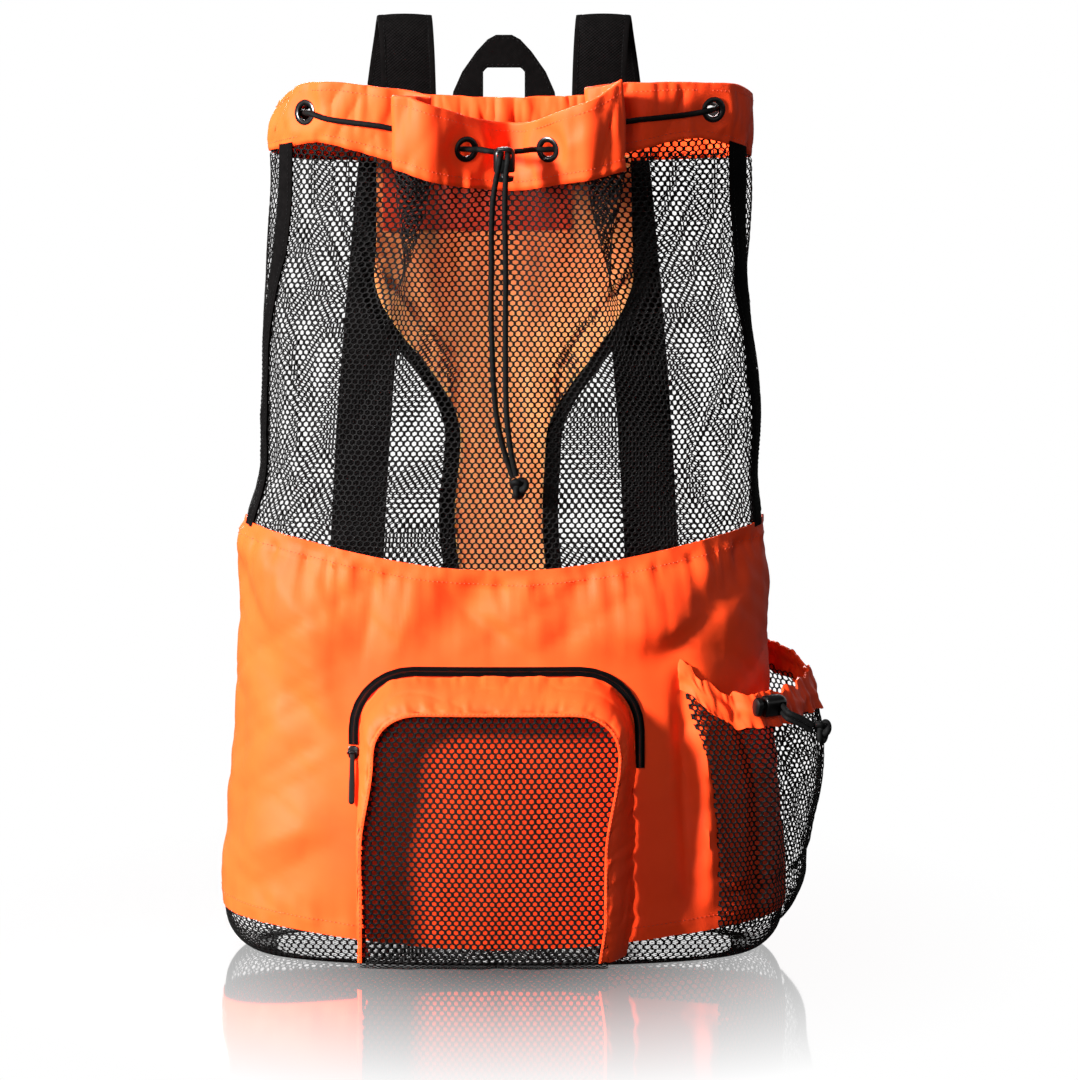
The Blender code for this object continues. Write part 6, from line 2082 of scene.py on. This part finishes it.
# Rows of the slider, of the pull's eye and of its tab: level, width and depth, as shares of each size
SLIDER_ROWS = ((-0.5, 0.86), (-0.42, 0.97), (-0.3, 1.0), (0.3, 1.0), (0.42, 0.97), (0.5, 0.86))
EYE_ROWS = ((-0.5, 0.80), (-0.46, 0.94), (-0.4, 1.0), (0.4, 1.0), (0.46, 0.94), (0.5, 0.80))
TAB_ROWS = (
    (-1.0, 0.40, 0.7), (-0.985, 0.75, 0.9), (-0.96, 0.95, 1.0), (-0.93, 1.0, 1.0),
    (-0.62, 0.97, 1.0), (-0.32, 0.85, 1.0), (-0.12, 0.80, 1.0), (-0.03, 0.78, 0.9),
)


def rounded(count, half_a, half_b, powers, rows):
    """Rounded outlines, one for each row of level, width and depth."""
    turn = circle(count)
    for level, *shares in rows:
        yield (level, signed_power(np.cos(turn), powers[0]) * half_a * shares[0],
               signed_power(np.sin(turn), powers[1]) * half_b * shares[-1])


def zipper():
    """The zip round the pocket's top: two tapes, the coil, its slider and the pull."""
    half = POCKET_WIDTH / 2
    lines = []
    for extra in (LAY_GAP, LAY_GAP + 0.42 * ZIP_WIDTH, LAY_GAP + 0.58 * ZIP_WIDTH, LAY_GAP + ZIP_WIDTH,
                  LAY_GAP + 0.5 * ZIP_WIDTH):
        line = arch(half + extra, POCKET_TOP + extra, POCKET_CORNER + extra, ZIP_START_HEIGHT, 8)
        line[-1, 1] = ZIP_END_HEIGHT
        line = line_at(line, 300)
        lines.append(front_place(line[:, 0], line[:, 1], LAY_GAP + ZIP_THICK * 0.7))
    for word, first, last in (("inner", lines[1], lines[0]), ("outer", lines[3], lines[2])):
        tape = ribbon(f"zip_tape_{word}", first, last, FINISH["tape"], lambda t: 0.0004)
        worn(tape, "webbing", "zipper")
    coil_line = front_line(line, LAY_GAP + ZIP_THICK * 0.7, 0.002)
    a, w, h = 0.00042, 0.0016, 0.0010
    around = ((-1, -1), (1, -1), (1, 1), (-1, 1))
    tooth = [(i * a, j * w, -h / 2) for i, j in around]
    tooth += [(i * a * 0.6, j * w * 0.85, h) for i, j in around]
    faces = [(0, 3, 2, 1), (4, 5, 6, 7), (0, 1, 5, 4), (1, 2, 6, 5), (2, 3, 7, 6), (3, 0, 4, 7)]
    points, corners = along_lines([coil_line], TOOTH_PITCH, tooth, faces)
    worn(mesh_piece("zip_coil", points, [corners], FINISH["plastic"], crease=30), "webbing")

    home = slider_matrix()
    length, width, thick = SLIDER_LENGTH, SLIDER_WIDTH, SLIDER_THICK
    rings = [
        np.stack([x * (1 + 0.18 * z / length), 0 * x + level * thick, z], axis=1)
        for level, x, z in rounded(32, width / 2, length / 2, (0.8, 0.6), SLIDER_ROWS)
    ]
    body = lofted("slider_plate", np.array(rings)[::-1], FINISH["metal"], home)
    axis_y = -SLIDER_THICK / 2 - PULL_EYE - SEAM_GAP
    worn(body, "plastic", "zip_slider")
    for way in (-1, 1):
        x = way * (PULL_WIDTH / 2 + SEAM_GAP + PULL_LUG / 2)
        size = Matrix.Diagonal((PULL_LUG, 2.6 * PULL_EYE, 2 * PULL_EYE, 1.0))
        shape = bmesh.new()
        bmesh.ops.create_cube(shape, size=1.0, matrix=size)
        bmesh.ops.bevel(shape, geom=shape.edges[:], offset=0.0003, segments=2, affect="EDGES", profile=0.5)
        shape.transform(home @ Matrix.Translation((x, axis_y + 0.3 * PULL_EYE, 0)))
        ear = shape_object(f"slider_ear_{'left' if way < 0 else 'right'}", shape)
        ear.data.shade_smooth()
        ear.data.set_sharp_from_angle(angle=math.radians(40))
        ear.data.materials.append(FINISH["metal"])
        worn(ear, "plastic")
    pull_home = home @ Matrix.Translation((0, axis_y, 0))
    rings = [
        np.stack([0 * y + level * PULL_WIDTH, y, z], axis=1)
        for level, y, z in rounded(24, PULL_EYE, PULL_EYE, (1, 1), EYE_ROWS)
    ]
    eye = lofted("pull_eye", np.array(rings), FINISH["metal"], pull_home)
    worn(eye, "plastic", "zip_pull", body="zip_pull")
    rings = [
        np.stack([x, y, 0 * x + level * PULL_LENGTH], axis=1)
        for level, x, y in rounded(24, PULL_WIDTH / 2, PULL_THICK / 2, (0.7, 0.8), TAB_ROWS)
    ]
    tab = lofted("pull_tab", np.array(rings), FINISH["plastic"], pull_home)
    worn(tab, "plastic", body="zip_pull")


# The side pocket
def side_place(part, height, out=0.0):
    """Places on the side pocket's wall, from its back end (0) to its front end (1)."""
    part, height = np.broadcast_arrays(np.asarray(part, float), np.asarray(height, float))
    part = np.clip(part, 0.0, 1.0)
    share = side_share(part, height)
    climb = np.clip((height - SIDE_POCKET_FOOT) / (side_rim(part) - SIDE_POCKET_FOOT), 0, 1.1)
    return wall(share, height, 2 * LAY_GAP + NET + side_stand(part, climb) + out)


SIDE_PLEAT, SIDE_FOLD, SIDE_SAG, SIDE_SWELL = 0.0034, 0.0040, 0.0042, 0.0020


def side_waves(part, height):
    """The side pocket's own folds: long upright ones under its hem and a sagging one near the foot."""
    middle = np.sin(np.pi * np.clip(part, 0, 1)) ** 0.5
    fall = np.clip((side_rim(part) - height) / 0.19, 0, 1)
    pleats = noise(part * 22, fall * 1.2 + 2) + 0.5 * noise(part * 46 + 3, fall * 2)
    out = SIDE_PLEAT * pleats * np.exp(-fall / 0.45) * middle
    fold = np.exp(-(((part - 0.80) / 0.030) ** 2)) - 0.8 * np.exp(-(((part - 0.86) / 0.022) ** 2))
    out = out + SIDE_FOLD * fold * smooth(fall / 0.1) * smooth((1 - fall) / 0.3)
    sag = height - (0.050 + 0.030 * (1 - part))
    out = out - SIDE_SAG * np.exp(-((sag / 0.006) ** 2)) * smooth((part - 0.35) / 0.3) * middle
    return out + SIDE_SWELL * noise(part * 9, height / 0.045) * middle


SIDE_RUN = 0.285


def side_netting():
    """The side pocket's net, its edges behind the hem and at the seams."""
    low, high = SIDE_POCKET_FOOT + 0.0005, float(side_rim(np.array(0.0))) - SIDE_POCKET_BAND + 0.006

    def place(u, v, out):
        part = u / SIDE_RUN
        behind = smooth((v - (side_rim(part) - SIDE_POCKET_BAND)) / 0.004 + 0.6)
        lift = side_waves(part, v) * smooth((v - SIDE_POCKET_FOOT) / 0.02)
        sewn = smooth((np.abs(2 * part - 1) - 0.945) / 0.05)
        return side_place(part, v, lift * (1 - sewn) - NET / 2 + out - 0.0018 * behind - 0.0070 * sewn)

    def inside(u, v):
        part = u / SIDE_RUN
        return v < side_rim(np.clip(part, 0, 1)) - SIDE_POCKET_BAND + 0.004

    net = netting("side_netting", place, (0.0005, SIDE_RUN - 0.0005), (low, high), inside, open_part=0.92)
    worn(net, "net", "side_pocket_net")


SIDE_RUFFLE, SIDE_CHANNEL = 0.0024, 0.0013
SIDE_CLOTH_THICK = 0.0016


def side_hem():
    """The side pocket's hem, drawn up on its elastic cord into ragged gathers."""
    part = np.linspace(0.0, 1.0, 400)
    level = np.linspace(0.0, 1.0, 18)[:, None]
    slack = smooth(part / 0.06) * smooth((1 - part) / 0.05)
    ruffle = noise(part * 40, level * 1.5 + 4) + 0.7 * noise(part * 84 + 3, level * 2.2 + 1)
    shape = 0.45 + 0.55 * np.abs(2 * level - 1) ** 1.5
    rim_wave = 0.0030 * noise(part * 34 + 7, 2.0) + 0.0022 * noise(part * 76, 5.0)
    low_wave = 0.0016 * noise(part * 38 + 1, 8.0)
    foot, top = side_rim(part) - SIDE_POCKET_BAND - 0.001, side_rim(part) - 0.002
    height = foot + low_wave * slack + (top + rim_wave * slack - foot - low_wave * slack) * level
    channel = SIDE_CHANNEL * np.sin(np.clip((level - 0.25) / 0.5, 0, 1) * math.pi) ** 2
    out = side_waves(part, foot) + SIDE_RUFFLE * ruffle * shape * slack + channel + 0.0006
    place = side_place(part, height, out)
    hem_cloth = cloth("side_hem_cloth", place, SIDE_CLOTH_THICK, FINISH["nylon"])
    worn(hem_cloth, "nylon", "side_pocket_hem")


# Straps and handle
def strap_middle(side):
    """The strap's middle line, as its solid has it."""
    places = []
    for share, stands, spread in STRAP_ROUTE:
        x = STRAP_TOP_SPREAD + (STRAP_FOOT_SPREAD - STRAP_TOP_SPREAD) * spread
        level = share * RIM_HEIGHT
        across = [side * x + edge * STRAP_WIDTH / 2 for edge in (-1, 0, 1)]
        back = max(float(wall(back_share(place, level), min(level, RIM_HEIGHT))[1]) for place in across)
        off = FABRIC / 2 + LAY_GAP + STRAP_THICK / 2 + stands * BODY_DEPTH
        places.append((side * x, back + off, level))
    return resampled(smooth_line(places), 0.0035)


EDGE_TAPE = 0.0050
EDGE_HALF, EDGE_THINNER = 0.0021, 0.0005
PAD_EDGE, PAD_RISE, PAD_INSET = 0.0006, 0.0024, 0.0012
STRAP_WAVE = 0.0006
SEAM_LIFT = 0.0022


def straps():
    """Two padded shoulder straps with bound edges."""
    for side, word in ((-1, "left"), (1, "right")):
        middle = strap_middle(side)
        half = STRAP_WIDTH / 2
        across = np.array([1.0, 0.0, 0.0])
        run = lengths(middle)
        puff = STRAP_WAVE * noise(run / 0.016, side + 3.0)
        sway = np.stack([0 * run, puff, 0 * run], axis=1)

        def padded(t):
            rise = math.sin(math.pi * min(max(t, 0.0), 1.0)) ** 0.35
            return PAD_EDGE + PAD_RISE * rise

        first = middle - across * (half - PAD_INSET) + sway
        last = middle + across * (half - PAD_INSET) + sway
        pad = ribbon(f"strap_pad_{word}", last, first, FINISH["pad"], padded, across=13)
        worn(pad, "webbing", f"strap_{word}")
        lines = []
        for way in (-1, 1):
            inner = middle + across * way * (half - EDGE_TAPE)
            outer = middle + across * way * half
            pair = (outer, inner) if way > 0 else (inner, outer)
            tape = ribbon(f"strap_edge_{word}_{'left' if way < 0 else 'right'}", *pair, FINISH["tape"],
                          lambda t: EDGE_HALF - EDGE_THINNER * abs(2 * t - 1) ** 3, across=7)
            worn(tape, "webbing")
            out = unit(np.cross(np.gradient(middle, axis=0), across))
            seam = middle + across * way * (half - 0.7 * EDGE_TAPE)
            for face in (-1, 1):
                lines.append((seam + out * face * SEAM_LIFT, out * face))
        thread(f"strap_thread_{word}", lines, "dark", *LONG_STITCH)


def haul_handle():
    """The webbing loop behind the collar's middle."""
    crest = HANDLE_CREST - HANDLE_FOOT
    half, top = HANDLE_GAP / 2, HANDLE_GAP_TOP - HANDLE_FOOT
    left = np.array([(x * HANDLE_WIDTH / 2, z * crest) for x, z in HANDLE_OUTLINE])
    outer = np.vstack([left, left[::-1] * (-1, 1)])
    inner = np.array([(-half, 0.0), (-half, 0.42 * top), (-half, 0.62 * top), (-half, 0.80 * top),
                      (-half, top - HANDLE_CORNER), (-half + HANDLE_CORNER * 0.5, top - HANDLE_CORNER * 0.4),
                      (-half + HANDLE_CORNER, top)])
    inner = np.vstack([inner, inner[::-1] * (-1, 1)])
    knots = np.arange(len(outer))
    at = np.linspace(0, len(outer) - 1, 220)
    pairs = [read_line(line, knots, at) for line in (outer, inner)]
    back = max(float(wall(back_share(x, HANDLE_FOOT), HANDLE_FOOT)[1]) for x in outer[:, 0])
    home = Matrix.Translation((0.0, back + LAY_GAP + HANDLE_THICK / 2, HANDLE_FOOT))
    home = home @ Matrix.Rotation(math.pi / 2 - HANDLE_LEAN, 4, "X")
    turn, place = np.array(home.to_3x3()), np.array(home.translation)
    edges = [np.column_stack([line, 0 * line[:, 0]]) @ turn.T + place for line in pairs]
    band = ribbon("handle_band", edges[0], edges[1], FINISH["tape"],
                  lambda t: HANDLE_THICK / 2 * (0.55 + 0.45 * min(1.0, 6 * min(t, 1 - t))), across=13)
    worn(band, "webbing", "haul_handle")
    lines = []
    out = turn @ np.array([0.0, 0.0, 1.0])
    for part in (0.10, 0.90):
        middle = edges[0] * (1 - part) + edges[1] * part
        for face in (-1, 1):
            lines.append((middle + out * face * HANDLE_THICK / 2, np.tile(out * face, (len(middle), 1))))
    thread("handle_thread", lines, "dark", *LONG_STITCH)


studio()
cords()
eyelets()
collar()
upper_nets()
tapes_and_panel()
lower_body()
base_netting()
gusset()
pocket_netting()
zipper()
side_netting()
side_hem()
straps()
haul_handle()
